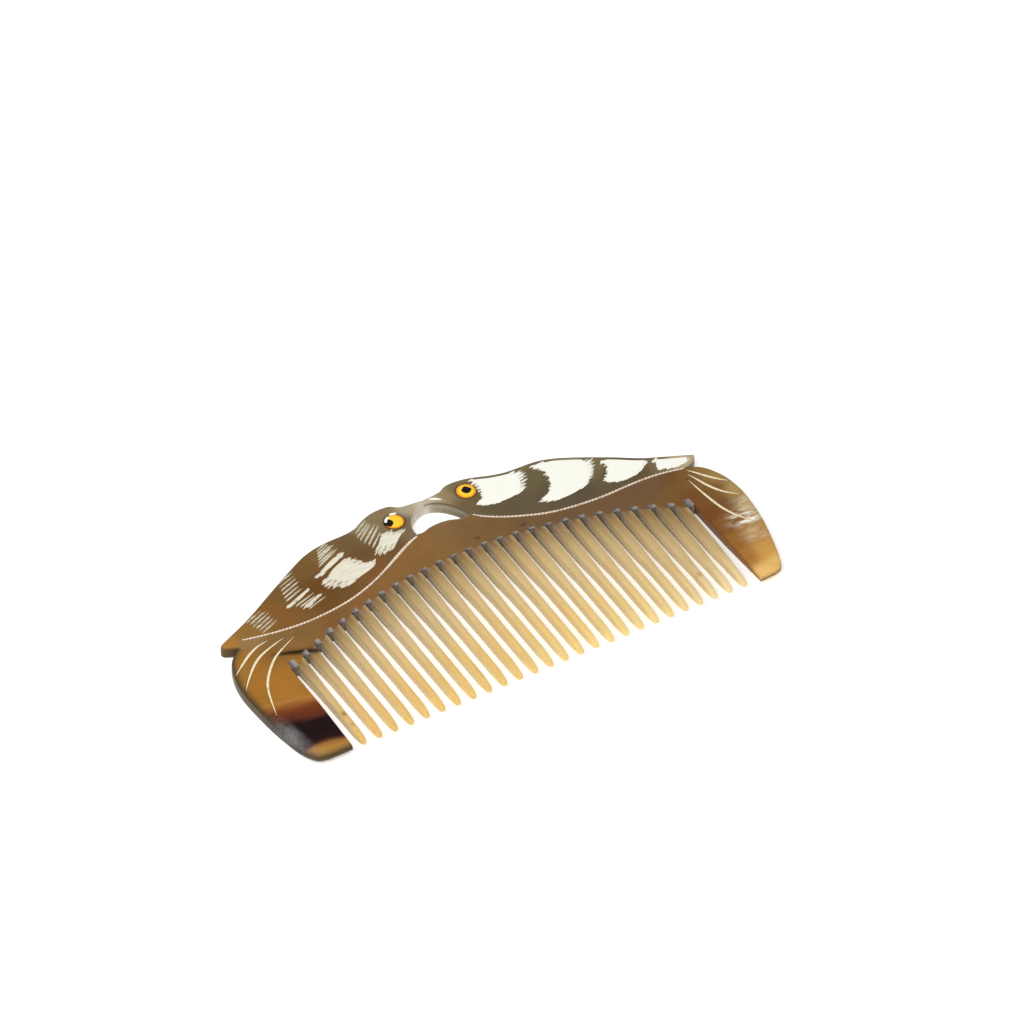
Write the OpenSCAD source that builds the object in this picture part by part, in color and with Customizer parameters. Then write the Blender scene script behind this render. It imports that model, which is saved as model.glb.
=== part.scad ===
// Carved horn hair comb with two painted birds beak to beak along its back.
// The comb lies on its back face: X runs along it, Y from the tooth points to
// the birds' backs, Z up through the plate. The origin is the middle of the
// comb's length and height, on the back face.

/* [Plate] */
// Length over both guard teeth
comb_l = 142.2; // [130:0.2:156]
// Height from the tooth points to the top of the heads
comb_h = 68.5; // [62:0.5:76]
// Thickness of the horn plate
plate_t = 3.5; // [3:0.1:4.5]

/* [Teeth] */
// Number of teeth between the two guards
tooth_count = 26; // [20:1:30]
// Share of each pitch that is tooth, the rest being the sawn gap
tooth_share = 0.47; // [0.4:0.01:0.55]
// Width of a tooth at its root
root_w = 2.5; // [2:0.05:3]
// Width of a tooth at its rounded point
tip_w = 1.1; // [0.8:0.1:1.6]
// Thickness of a tooth at its point
tip_t = 1.2; // [0.8:0.1:2]
// Thickness of a tooth where its point begins to thin
shank_t = 2.8; // [2.2:0.1:3.4]
// Sideways bow of the hand-sawn row at its middle
row_bow = 1; // [0:0.1:1.5]
// Radius of the arch on which the gaps end
arch_r = 121; // [110:1:140]
// Thickness of a guard at its foot
guard_foot_t = 1.6; // [1.2:0.1:3]

/* [Engraving] */
// Width of the long belly lines
belly_line_w = 0.75; // [0.5:0.05:1]
// Width of the plume lines on the guards
plume_line_w = 0.8; // [0.5:0.05:1]
// Depth of the engraved lines and their filling
line_depth = 0.5; // [0.2:0.1:0.8]
// Depth of the scraped feather patches and their paint
paint_depth = 0.3; // [0.1:0.1:0.6]

/* [Eyes] */
// Diameter of an eye's iris
iris_d = 5; // [4:0.1:5.4]
// Diameter of an eye's pupil
pupil_d = 2.5; // [1.4:0.1:2.8]
// Depth of the eye recesses
eye_depth = 0.5; // [0.3:0.1:0.8]

/* [Hidden] */
TOOTH_NODES = [for (i = [1 : tooth_count]) str("tooth_", i < 10 ? "0" : "", i)];

// Outlines are drawn for a comb of this size whose middle lies at drawn_mid, and
// are then centred and stretched to the size set above
drawn_size = [142.2, 68.5];
drawn_mid = [0.9, 0.95];
stretch = [comb_l / drawn_size[0], comb_h / drawn_size[1]];
// Straight steps in each span of a smooth line
steps = 4;
// Overshoot of cutting shapes past the face they cut
over = 1;

horn_brown = [0.42, 0.31, 0.17];
horn_olive = [0.40, 0.35, 0.22];
horn_amber = [0.62, 0.42, 0.18];
horn_honey = [0.86, 0.73, 0.48];
line_cream = [0.90, 0.80, 0.70];
paint_white = [0.96, 0.95, 0.86];
iris_yellow = [0.96, 0.76, 0.15];
pupil_black = [0.03, 0.02, 0.02];

// Key corners, shared by the pieces that meet there
left_notch = [-63.6, 10.2];
right_notch = [65, 9.3];
beak_low = [1.6, 30.4];
beak_high = [1.6, 32.1];
hole_left = [-5.5, 22.4];
hole_right = [9.2, 22];
left_inner_x = -56;
right_inner_x = 59;
arch_mid = [1, 11.3];

// Birds' backs, from the tail to the beak
left_back = [
    left_notch, [-65.2, 10.9], [-66.7, 11.8], [-66.6, 13.2], [-64, 14.5], [-59, 16.7], [-54, 19.2],
    [-49, 22], [-44, 24.8], [-39, 27.5], [-34, 30], [-30, 31.2], [-26, 31.7], [-21, 31.8],
    [-18, 32.3], [-15, 33.8], [-12, 34.9], [-9, 35.2], [-6.2, 34.8], [-4.3, 33.4], [-2, 32.8],
    beak_high];
right_back = [
    right_notch, [66.5, 10.2], [68.2, 12.1], [67.4, 12.9], [65, 14], [61, 15.8], [56, 18.2],
    [51, 21.5], [46, 24.5], [41, 27.3], [37, 29.2], [33, 30.3], [29, 30.6], [25, 30.8],
    [21, 31.7], [17, 33.2], [14, 34], [11, 34.3], [8.8, 34], [7, 33], [4.8, 32.5], [2.8, 32.2],
    beak_high];
// Rim of the hole under the beaks, from its bottom corners up to the beaks
left_rim = [hole_left, [-5.5, 24], [-5, 26], [-3.8, 27.7], [-2, 29.2], [0, 30.1], beak_low];
right_rim = [hole_right, [9, 23.2], [8.1, 25.3], [6.7, 27.3], [5.1, 28.9], [3.3, 30], beak_low];
sill = [hole_left, [-3.8, 22.3], [-1.5, 23], [1.2, 23.2], [4, 22.8], [6.4, 21.9], hole_right];
// Belly lines, from the hole to the tails
left_belly = [
    [-5.7, 21.9], [-9, 20.6], [-14, 18], [-19, 15.3], [-24, 13], [-29, 11.3], [-34, 10.2],
    [-39, 9.6], [-44, 9.4], [-49, 9.7], [-54, 10.4], [-59, 11.4], [-61.2, 12]];
right_belly = [
    [9.9, 21.6], [12, 19.6], [16, 17], [21, 14.6], [26, 12.7], [31, 11.6], [36, 11], [41, 10.7],
    [46, 10.8], [51, 10.9], [56, 10.6], [60, 9.9], [63.4, 9.1]];
// Outer edges of the guards, from the notches down to the points
left_flank = [
    left_notch, [-66.4, 7.8], [-68, 5.4], [-69.3, 1.9], [-70, -1.7], [-70.2, -5.4],
    [-70, -10], [-69.6, -15], [-69, -20.5], [-68, -26.5], [-66.9, -29.8], [-65.2, -32.2],
    [-62.6, -33]];
right_flank = [
    right_notch, [67.8, 7.4], [70, 4], [71.4, 0], [72, -5], [71.8, -10], [71.1, -15.7],
    [70, -21.3], [68.6, -27], [67.5, -30.4], [66.3, -32.3], [64.4, -33]];
left_foot = [-56, -33];
right_foot = [59.9, -33.3];
// Plume lines on each side, from the web out to the edge
left_plumes = [
    [[-56, 8.5], [-59, 8], [-62, 6.7], [-65, 4.7], [-67.4, 2.9], [-68.9, 1.8]],
    [[-52, 7.4], [-56, 6.3], [-60, 4.8], [-63, 2.8], [-66, -0.1], [-68.2, -2.6], [-69.4, -4.1]],
    [[-49.6, 6.5], [-53, 4.9], [-57, 2.7], [-60, 0], [-62.5, -3], [-64.4, -6.2], [-66, -11],
     [-67.2, -15.3]]];
right_plumes = [
    [[63.4, 8.2], [65, 6.2], [67, 3.4], [69, 1.1], [70.5, -0.3]],
    [[62.9, 6.8], [63.8, 4.6], [64.8, 1.8], [66.2, -1.2], [68.2, -3.9], [70.6, -6]],
    [[62, 5], [62.6, 0.5], [63.3, -4], [64.2, -8], [65.6, -11.4], [67.2, -14], [69.6, -16.4]]];
// Solid feather patches of the right bird
right_patches = [
    [[12.8, 24], [15.2, 25.4], [16.1, 28], [16.2, 30.2], [15.6, 32.2], [18.2, 32.1], [21.4, 31.1],
     [25.2, 29.3], [26.6, 27.8], [26.2, 26], [25.2, 24], [23.4, 22.2], [19.6, 21.7], [15.8, 22.3]],
    [[27.2, 17.1], [30.2, 18.6], [32.2, 21], [33, 24], [32.8, 26.6], [31.2, 28.8], [35, 28.4],
     [39, 27.2], [42.4, 25.3], [43.6, 23.2], [42.6, 20.4], [40.8, 18], [38, 15.9], [34.4, 15.1],
     [30.4, 15.3]],
    [[44.2, 14.9], [46, 17], [47.4, 19.8], [46.6, 21.6], [49.6, 21.2], [53.4, 18.8], [56.2, 17],
     [55.4, 15.4], [52.8, 13.7], [50.4, 12.8], [47.4, 13.2]],
    [[57.6, 12.4], [58.4, 14.4], [59, 15.8], [61.6, 14.6], [65.2, 13], [66, 11.9], [64.6, 10.9],
     [62.6, 10.3], [60, 11.1]]];
// Solid feather patches of the left bird
left_patches = [
    [[-17, 22.1], [-15, 24.8], [-13, 26.7], [-11.2, 26.6], [-9.4, 25.6], [-7.6, 25.1],
     [-9.4, 23.8], [-12, 21.7], [-14.6, 21]],
    [[-34, 18.9], [-31, 21.4], [-28, 23], [-25, 23.6], [-23.8, 22.6], [-22.4, 20.6],
     [-20.6, 19.8], [-19.2, 19.5], [-21, 17.6], [-24.6, 16.5], [-28, 15.5], [-31, 16.1]],
    [[-34.6, 22], [-31, 24], [-27.6, 25.6], [-24.7, 26], [-26, 24.6], [-29, 23.2], [-32, 22]],
    [[-46, 16.4], [-42, 18.2], [-38.2, 19.4], [-39.6, 18], [-43, 16.6]],
    [[-41.8, 14.4], [-39, 15.7], [-36.4, 16.1], [-38.2, 14.8], [-40.4, 14.1]]];
// Single feather strokes of the left bird: start, end and width
left_strokes = [
    [[-19, 24.6], [-13.6, 27.2], 0.6], [[-19.2, 26], [-12.8, 28.6], 0.6],
    [[-19.4, 27.4], [-12.4, 30], 0.6], [[-18.6, 28.8], [-12, 31.2], 0.6],
    [[-17.6, 30.4], [-11.6, 32.6], 0.6], [[-33.4, 24.4], [-25.4, 27.2], 0.6],
    [[-32.8, 26], [-25, 28.4], 0.6], [[-32, 27.4], [-24.6, 29.6], 0.6],
    [[-30.6, 28.8], [-24.6, 30.6], 0.6], [[-45, 24], [-40.4, 25.8], 0.6],
    [[-46, 22.2], [-39.8, 24.2], 0.6], [[-46.4, 20.4], [-39.4, 22.4], 0.6],
    [[-46.4, 18.6], [-39, 20.8], 0.6], [[-46, 15], [-37.8, 17.2], 0.6],
    [[-59.8, 13.2], [-53.4, 15], 0.5], [[-58.8, 14.6], [-52.8, 16.4], 0.5],
    [[-57, 16], [-52, 17.8], 0.5], [[-57.4, 11.9], [-52.6, 13.6], 0.5]];
// White paint in the right bird's open beak
beak_gap = [[2.9, 31.8], [3.9, 31.7], [4.9, 31.2], [5.7, 30.5], [6.1, 29.7], [4.8, 30.4],
    [3.7, 31.1]];
left_eye = [-8.1, 29.1];
right_eye = [12.7, 29.5];
// Pupils sit off the middle of the irises
left_pupil_at = [-9.5, 29.3];
right_pupil_at = [12.9, 29.7];
// Crescent glint painted over the left iris, as an arc between two angles
glint_from = 105;
glint_to = 165;
glint_w = 0.9;

// Gaps and teeth fill the row between the guards
row_l = right_inner_x - left_inner_x;
pitch = row_l / (tooth_count + 1 - tooth_share);
tooth_w = pitch * tooth_share;
gap_w = pitch - tooth_w;
tip_y = -33;
// Heights above the point at which a tooth reaches its full width, its shank's
// thickness and the plate's thickness
width_reach = 11;
shank_reach = 7;
thick_reach = 38;
// Length over which the first and the last tooth keep the width of their root
hold_first = 1;
hold_last = 16;
// Height above its foot at which a guard reaches the plate's thickness
guard_reach = 16;

// Left and right side of a tooth, counted from 0 at the left
function row_place(i) = (2 * i - tooth_count + 1) / (tooth_count - 1);
function tooth_mid(i) = left_inner_x + gap_w + tooth_w / 2 + i * pitch
    + row_bow * (1 - pow(row_place(i), 2));
function root_side(i, side) = tooth_mid(i) + side * root_w / 2;
function hold(i) = hold_first + (hold_last - hold_first) * i / (tooth_count - 1);
// Left (0) and right (1) side of a gap, counted from 0 at the left guard
function gap_side(k, side) = side == 0
    ? (k == 0 ? left_inner_x : root_side(k - 1, 1))
    : (k == tooth_count ? right_inner_x : root_side(k, -1));
// Height of the arch on which the gaps end
function arch_y(x) = arch_mid[1] - arch_r + sqrt(arch_r * arch_r - pow(x - arch_mid[0], 2));
// The square end of a gap, on or just under the arch
function gap_y(k) = min(arch_y(gap_side(k, 0)), arch_y(gap_side(k, 1)));

function sized(p) = [
    (p[0] - drawn_mid[0]) * stretch[0], (p[1] - drawn_mid[1]) * stretch[1]];
function sized_all(points) = [for (p = points) sized(p)];
function backwards(points) = [for (i = [len(points) - 1 : -1 : 0]) points[i]];

// One point of the smooth curve from b to c, whose neighbours are a and d
function curve_at(a, b, c, d, t) = (2 * b + (c - a) * t + (2 * a - 5 * b + 4 * c - d) * t * t
    + (3 * b - a - 3 * c + d) * t * t * t) / 2;
// A smooth line through the given points
function smooth(p) = let (n = len(p) - 1) concat(
    [for (i = [0 : n - 1], k = [0 : steps - 1]) curve_at(
        i == 0 ? 2 * p[0] - p[1] : p[i - 1], p[i], p[i + 1],
        i == n - 1 ? 2 * p[n] - p[n - 1] : p[i + 2], k / steps)],
    [p[n]]);
// A smooth closed loop through the given points
function smooth_loop(p) = let (n = len(p)) [
    for (i = [0 : n - 1], k = [0 : steps - 1]) curve_at(
        p[(i + n - 1) % n], p[i], p[(i + 1) % n], p[(i + 2) % n], k / steps)];

// Direction across a line at one of its points
function across(p, i) = let (
    d = p[min(i + 1, len(p) - 1)] - p[max(i - 1, 0)]) [-d[1], d[0]] / norm(d);
// A band of even width along a line
function band(line, w) = let (p = smooth(line)) concat(
    [for (i = [0 : len(p) - 1]) p[i] + across(p, i) * w / 2],
    [for (i = [len(p) - 1 : -1 : 0]) p[i] - across(p, i) * w / 2]);
// A brush stroke that is widest past its middle and pointed at both ends
function stroke(s) = let (
    d = s[1] - s[0], n = [-d[1], d[0]] / norm(d) * s[2] / 2)
    [s[0], s[0] + 0.35 * d + 0.8 * n, s[0] + 0.7 * d + n, s[1], s[0] + 0.7 * d - n,
     s[0] + 0.35 * d - 0.8 * n];

left_corner = [left_inner_x, gap_y(0)];
right_corner = [right_inner_x, gap_y(tooth_count)];
// The stepped line on which web and teeth meet
root_line = concat(
    [left_corner],
    [for (i = [0 : tooth_count - 1], side = [0, 1])
        [root_side(i, 2 * side - 1), gap_y(i + side)]],
    [right_corner]);

// Side view of the plate as it thins downwards: pairs of height above the points
// and thickness, from the points up
module side_view(steps_up) {
    low = (tip_y - drawn_mid[1]) * stretch[1];
    y = [for (s = steps_up) low + s[0] * stretch[1]];
    n = len(steps_up) - 1;
    polygon(concat(
        [for (k = [0 : n]) [y[k], (plate_t - steps_up[k][1]) / 2]],
        [for (k = [n : -1 : 0]) [y[k], (plate_t + steps_up[k][1]) / 2]]));
}

// A wide wedge with that side view, to cut a flat outline from
module wedge(steps_up) {
    translate([-comb_l, 0, 0]) rotate([90, 0, 90])
        linear_extrude(2 * comb_l) side_view(steps_up);
}

module plate(outline) {
    linear_extrude(plate_t) polygon(sized_all(outline));
}

// A layer let into the front face, and the cut that holds it
module layer(outline, depth, proud = 0) {
    translate([0, 0, plate_t - depth])
        linear_extrude(depth + proud) polygon(sized_all(outline));
}

module eye_disc(centre, d, proud = 0) {
    translate(concat(sized(centre), [plate_t - eye_depth]))
        cylinder(h = eye_depth + proud, d = d, $fn = 48);
}

module belly_bands(proud = 0) {
    layer(band(left_belly, belly_line_w), line_depth, proud);
    layer(band(right_belly, belly_line_w), line_depth, proud);
}

module plume_bands(lines, proud = 0) {
    for (line = lines) layer(band(line, plume_line_w), line_depth, proud);
}

module left_feathers(proud = 0) {
    for (patch = left_patches) layer(smooth_loop(patch), paint_depth, proud);
    for (s = left_strokes) layer(stroke(s), paint_depth, proud);
}

module right_feathers(proud = 0) {
    for (patch = right_patches) layer(smooth_loop(patch), paint_depth, proud);
}

module web() {
    color(horn_brown) difference() {
        plate(concat(
            smooth(sill), smooth(right_belly), [right_notch],
            backwards(root_line), [left_notch], backwards(smooth(left_belly))));
        belly_bands(over);
        plume_bands(left_plumes, over);
        plume_bands(right_plumes, over);
    }
}

module left_bird() {
    color(horn_olive) difference() {
        plate(concat(
            smooth(left_back), backwards(smooth(left_rim)), smooth(left_belly)));
        belly_bands(over);
        left_feathers(over);
        eye_disc(left_eye, iris_d, over);
    }
}

module right_bird() {
    color(horn_olive) difference() {
        plate(concat(
            smooth(right_back), backwards(smooth(right_rim)), smooth(right_belly)));
        belly_bands(over);
        right_feathers(over);
        layer(beak_gap, paint_depth, over);
        eye_disc(right_eye, iris_d, over);
    }
}

module guard(outline, lines) {
    color(horn_amber) difference() {
        intersection() {
            plate(outline);
            wedge([[-over, guard_foot_t], [guard_reach, plate_t], [comb_h, plate_t]]);
        }
        plume_bands(lines, over);
    }
}

module left_guard() {
    guard(concat(smooth(left_flank), [left_foot, left_corner]), left_plumes);
}

module right_guard() {
    guard(concat(smooth(right_flank), [right_foot, right_corner]), right_plumes);
}

// Front view of a tooth: wide at the root, narrowing to the taper, then a rounded point
module tooth_front(i) {
    mid = tooth_mid(i);
    root = root_w / 2;
    half = tooth_w / 2;
    tip = tip_w / 2;
    polygon(sized_all(concat(
        [[mid + root, gap_y(i + 1) - hold(i)], [mid + root, gap_y(i + 1)]],
        [[mid - root, gap_y(i)], [mid - root, gap_y(i) - hold(i)]],
        [[mid - half, tip_y + width_reach], [mid - tip, tip_y + tip]],
        [for (a = [210 : 30 : 330]) [mid + tip * cos(a), tip_y + tip + tip * sin(a)]],
        [[mid + tip, tip_y + tip], [mid + half, tip_y + width_reach]])));
}

module tooth(i) {
    color(horn_honey) intersection() {
        linear_extrude(plate_t) tooth_front(i);
        wedge([[0, tip_t], [shank_reach, shank_t], [thick_reach, plate_t],
            [comb_h, plate_t]]);
    }
}

module left_belly_line() {
    color(line_cream) layer(band(left_belly, belly_line_w), line_depth);
}

module right_belly_line() {
    color(line_cream) layer(band(right_belly, belly_line_w), line_depth);
}

module left_plume_lines() {
    color(line_cream) plume_bands(left_plumes);
}

module right_plume_lines() {
    color(line_cream) plume_bands(right_plumes);
}

module left_feather_paint() {
    color(paint_white) left_feathers();
}

module right_feather_paint() {
    color(paint_white) right_feathers();
}

module beak_gap_paint() {
    color(paint_white) layer(beak_gap, paint_depth);
}

// The painted iris is a ring round the pupil, less any glint over it
module left_iris() {
    color(iris_yellow) difference() {
        eye_disc(left_eye, iris_d);
        eye_disc(left_pupil_at, pupil_d, over);
        glint(over);
    }
}

module left_pupil() {
    color(pupil_black) difference() {
        eye_disc(left_pupil_at, pupil_d);
        glint(over);
    }
}

module glint(proud = 0) {
    mid_r = iris_d / 2 - glint_w / 2;
    arc = [for (a = [glint_from : 5 : glint_to]) left_eye + mid_r * [cos(a), sin(a)]];
    layer(concat(
        [for (i = [0 : len(arc) - 1]) arc[i] + across(arc, i) * glint_w / 2.5],
        backwards([for (i = [0 : len(arc) - 1]) arc[i] - across(arc, i) * glint_w / 2.5])),
        eye_depth / 2, proud);
}

module left_eye_glint() {
    color(paint_white) glint();
}

module right_iris() {
    color(iris_yellow) difference() {
        eye_disc(right_eye, iris_d);
        eye_disc(right_pupil_at, pupil_d, over);
    }
}

module right_pupil() {
    color(pupil_black) eye_disc(right_pupil_at, pupil_d);
}

web();
left_bird();
right_bird();
left_guard();
right_guard();
for (i = [0 : tooth_count - 1])
    tooth(i);
left_belly_line();
right_belly_line();
left_plume_lines();
right_plume_lines();
left_feather_paint();
right_feather_paint();
beak_gap_paint();
left_iris();
left_pupil();
left_eye_glint();
right_iris();
right_pupil();
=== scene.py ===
import math

import bmesh
import bpy
import numpy as np
from bpy.props import FloatProperty, FloatVectorProperty, IntProperty, PointerProperty
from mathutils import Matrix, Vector, noise
from mathutils.bvhtree import BVHTree
from mathutils.geometry import delaunay_2d_cdt


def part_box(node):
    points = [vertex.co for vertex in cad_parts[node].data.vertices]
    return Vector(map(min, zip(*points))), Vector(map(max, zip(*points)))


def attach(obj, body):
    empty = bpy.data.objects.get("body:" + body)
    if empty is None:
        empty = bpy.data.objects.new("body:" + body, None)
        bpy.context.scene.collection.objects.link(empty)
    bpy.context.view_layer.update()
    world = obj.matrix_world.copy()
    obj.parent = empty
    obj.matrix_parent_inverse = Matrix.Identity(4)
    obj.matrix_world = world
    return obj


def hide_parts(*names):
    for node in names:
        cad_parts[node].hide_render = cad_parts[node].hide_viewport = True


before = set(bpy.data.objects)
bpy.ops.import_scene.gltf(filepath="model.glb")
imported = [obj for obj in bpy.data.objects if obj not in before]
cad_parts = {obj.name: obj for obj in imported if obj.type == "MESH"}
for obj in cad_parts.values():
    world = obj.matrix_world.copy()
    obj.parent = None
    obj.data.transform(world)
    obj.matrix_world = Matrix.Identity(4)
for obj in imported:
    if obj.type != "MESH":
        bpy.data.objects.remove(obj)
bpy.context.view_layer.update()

bl_info = {
    "name": "Carved horn comb",
    "version": (1, 0, 0),
    "blender": (4, 5, 0),
    "location": "View3D > Sidebar > Comb",
    "description": "Builds a horn comb with two painted birds around its CAD model",
    "category": "Object",
}

# ---------------------------------------------------------------------------
# Sizes in millimetres, turned to metres only where a mesh is made
# ---------------------------------------------------------------------------
MM = 0.001
PLATES = ("web", "left_bird", "right_bird", "left_guard", "right_guard")
TEETH = sorted(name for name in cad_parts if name.startswith("tooth_"))
BELLY_LINES = ("left_belly_line", "right_belly_line")
PLUME_LINES = ("left_plume_lines", "right_plume_lines")
SEED = 11


def srgb(*levels):
    """Linear colour of three display levels from 0 to 255."""
    shares = [level / 255 for level in levels]
    return tuple(s / 12.92 if s <= 0.04045 else ((s + 0.055) / 1.055) ** 2.4 for s in shares)


def box_mm(node):
    """Lowest and highest corner of a CAD node, in millimetres."""
    low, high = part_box(node)
    return np.array(low) / MM, np.array(high) / MM


PLATE_T = box_mm("left_bird")[1][2]


# ---------------------------------------------------------------------------
# Settings shown in the sidebar
# ---------------------------------------------------------------------------
def length(label, about, millimetres, most=5.0):
    return FloatProperty(name=label, description=about, default=millimetres * MM,
                         min=0.0, max=most * MM, unit="LENGTH", precision=5)


def colour(label, about, levels):
    return FloatVectorProperty(name=label, description=about, subtype="COLOR", size=3,
                               min=0.0, max=1.0, default=srgb(*levels))


def share(label, about, value):
    return FloatProperty(name=label, description=about, default=value, min=0.0, max=1.0,
                         subtype="FACTOR")


class HornSettings(bpy.types.PropertyGroup):
    """The sawn, filed and polished horn."""
    filed_r: length("Filed edge", "Radius filed on the outer edges of the front", 0.9)
    back_r: length("Back edge", "Radius broken on the edges of the back", 0.45)
    sawn_r: length("Sawn edge", "Radius left on the inner edges of the guards", 0.2)
    mesh_step: length("Mesh step", "Spacing of the points of a carved face", 0.42)
    wave: length("Hand polish", "Height of the polished surface's gentle waves", 0.03)
    chamfer_w: length("Corner chamfer", "Width of the chamfer filed on the left guard", 3.6)
    groove_depth: length("Groove depth", "Depth of the engraved lines", 0.32)
    polish: share("Roughness", "Roughness of the polished horn", 0.3)


class ToothSettings(bpy.types.PropertyGroup):
    """The sawn teeth."""
    shank_w: length("Shank width", "Width of a tooth below its wide root", 2.04)
    hold_first: length("First hold", "Length over which the first tooth keeps its root", 1.0, 30)
    hold_last: length("Last hold", "Length over which the last tooth keeps its root", 16.5, 30)
    narrowing: length("Narrowing", "Length over which a root narrows to the shank", 11, 30)
    tip_w: length("Point width", "Width of a tooth at its point", 1.35)
    tip_t: length("Point thickness", "Thickness of a tooth at its point", 1.4)
    taper_l: length("Taper", "Height above the point at which a tooth is full width", 6, 30)
    shank_l: length("Shank", "Height above the point at which the point's thinning ends", 7, 30)
    shank_t: length("Shank thickness", "Thickness of a tooth at its shank", 2.8)
    root_l: length("Square root", "Length over which a tooth turns from square to oval", 22, 40)
    wobble: length("Hand sawing", "How far a tooth's sides stray from straight", 0.05)


class PaintSettings(bpy.types.PropertyGroup):
    """Line fillings, feather paint and eyes."""
    rope_w: length("Belly rope", "Width of the roped filling of a belly line", 0.7)
    rope_pitch: length("Rope pitch", "Length of one turn of the roped filling", 1.9)
    plume_w: length("Plume line", "Width of a plume line at its middle", 0.72)
    hair_w: length("Right hairs", "Width of a ragged hair of the right bird's paint", 0.46)
    finger_w: length("Left fingers", "Width of a ragged finger of the left bird's paint", 0.4)
    row_w: length("Left strokes", "Width of a long stroke on the left bird", 0.36)
    coat_t: length("Coat", "Height of the paint over the horn", 0.04)
    seed: IntProperty(name="Seed", description="Seed of the brush strokes", default=SEED)
    cream: colour("Line cream", "Colour of the line fillings", (242, 230, 210))
    white: colour("Feather white", "Colour of the feather paint", (255, 254, 243))
    yellow: colour("Iris yellow", "Colour of the iris", (253, 208, 44))
    orange: colour("Iris orange", "Colour of the iris at its rim", (222, 128, 22))
    black: colour("Pupil black", "Colour of the pupil", (10, 7, 6))


class StageSettings(bpy.types.PropertyGroup):
    """Floor, light and camera."""
    azimuth: FloatProperty(name="Azimuth", description="Turn of the camera about the comb",
                           default=math.radians(-30.6), subtype="ANGLE")
    elevation: FloatProperty(name="Elevation", description="Height angle of the camera",
                             default=math.radians(43.8), subtype="ANGLE")
    field: length("Field", "Width of the field of view at the comb", 252.8, 1000)
    lens: FloatProperty(name="Lens", description="Focal length in millimetres", default=600)
    sky: FloatProperty(name="Sky", description="Brightness of the white surround", default=0.43)


# ---------------------------------------------------------------------------
# Outlines, read from the CAD nodes
# ---------------------------------------------------------------------------
# A face whose normal leans less than this out of level counts as a wall
FLAT = 0.02
# Outlines closer than this touch
TOUCHING = 0.05
# An edge whose ends differ by less than this runs straight along the teeth
ALIGNED = 0.01
# The web's free edge lies at least this far over the roots of the teeth
SILL = 1.0
# A guard's inner edge is straight for at least this far
SAWN_RUN = 10.0
# A box round the hole under the beaks
HOLE_LOW, HOLE_HIGH = (-6.8, 19), (8.7, 30.5)


def merged_copy(node):
    """A copy of a CAD node's mesh whose loose triangles are joined."""
    work = bmesh.new()
    work.from_mesh(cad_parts[node].data)
    bmesh.ops.remove_doubles(work, verts=work.verts, dist=1e-6)
    work.normal_update()
    return work


def outlines_below(node):
    """The closed outlines of a node's underside, each counterclockwise from above."""
    work = merged_copy(node)
    faces = [face for face in work.faces if face.normal.z < -FLAT]
    below = set(faces)
    follows = {}
    for face in faces:
        for corner in face.loops:
            if sum(other in below for other in corner.edge.link_faces) == 1:
                follows[corner.vert.index] = corner.link_loop_next.vert.index
    work.verts.ensure_lookup_table()
    loops = []
    while follows:
        start, at = follows.popitem()
        chain = [start]
        while at != start:
            chain.append(at)
            at = follows.pop(at)
        loops.append(np.array([work.verts[i].co[:2] for i in reversed(chain)]) / MM)
    work.free()
    return loops


def held(values):
    """Values kept between 0 and 1."""
    return np.clip(values, 0, 1)


def segments(loop):
    """The straight segments of a closed outline."""
    return np.stack([loop, np.roll(loop, -1, axis=0)], axis=1)


def path_segments(path):
    """The straight segments of an open line."""
    return np.stack([path[:-1], path[1:]], axis=1)


def distance_to(points, lines):
    """Shortest distance from each point to a set of straight segments."""
    start = lines[:, 0]
    run = lines[:, 1] - start
    run_2 = np.maximum((run ** 2).sum(1), 1e-12)
    best = []
    for part in np.array_split(points, max(1, len(points) * len(lines) // 2000000)):
        off = part[:, None] - start
        along = held((off * run).sum(2) / run_2)
        gap = off - along[..., None] * run
        best.append(np.sqrt((gap ** 2).sum(2)).min(1))
    return np.concatenate(best)


def inside(points, loop):
    """Which points lie inside a closed outline."""
    a, b = loop, np.roll(loop, -1, axis=0)
    x, y = points[:, :1], points[:, 1:]
    crosses = (a[:, 1] > y) != (b[:, 1] > y)
    rise = np.where(a[:, 1] == b[:, 1], 1, b[:, 1] - a[:, 1])
    at_x = a[:, 0] + (y - a[:, 1]) * (b[:, 0] - a[:, 0]) / rise
    return (crosses & (x < at_x)).sum(1) % 2 == 1


def centre_line(loop):
    """The middle line of a narrow band, from its closed outline."""
    steps = np.arange(len(loop) // 2)

    def sides(turn):
        """The two sides, point facing point, when the band ends at the given point."""
        return loop[(turn + steps) % len(loop)], loop[(turn - 1 - steps) % len(loop)]

    def widest(turn):
        a, b = sides(turn)
        return np.linalg.norm(a - b, axis=1).max()

    a, b = sides(min(range(len(loop)), key=widest))
    return (a + b) / 2


def evenly(path, step):
    """Points at an even spacing along an open line."""
    reach = np.concatenate([[0], np.cumsum(np.linalg.norm(np.diff(path, axis=0), axis=1))])
    at = np.linspace(0, reach[-1], max(2, round(reach[-1] / step) + 1))
    return np.stack([np.interp(at, reach, path[:, k]) for k in (0, 1)], axis=1)


OUTLINES = {node: outlines_below(node)[0] for node in PLATES + tuple(TEETH)}
LINES = {node: [centre_line(loop) for loop in outlines_below(node)]
         for node in BELLY_LINES + PLUME_LINES}
TOOTH_BOXES = [box_mm(node) for node in TEETH]
TOOTH_X = np.array([(low[0] + high[0]) / 2 for low, high in TOOTH_BOXES])
TOOTH_TOP = np.array([high[1] for low, high in TOOTH_BOXES])
PITCH = (TOOTH_X[-1] - TOOTH_X[0]) / (len(TEETH) - 1)
# Middle of the gap at the left of each tooth, and of the gap after the last
GAPS = np.append(TOOTH_X, TOOTH_X[-1] + PITCH) - PITCH / 2
EYES = {side: box_mm(side + "_iris") for side in ("left", "right")}


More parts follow.
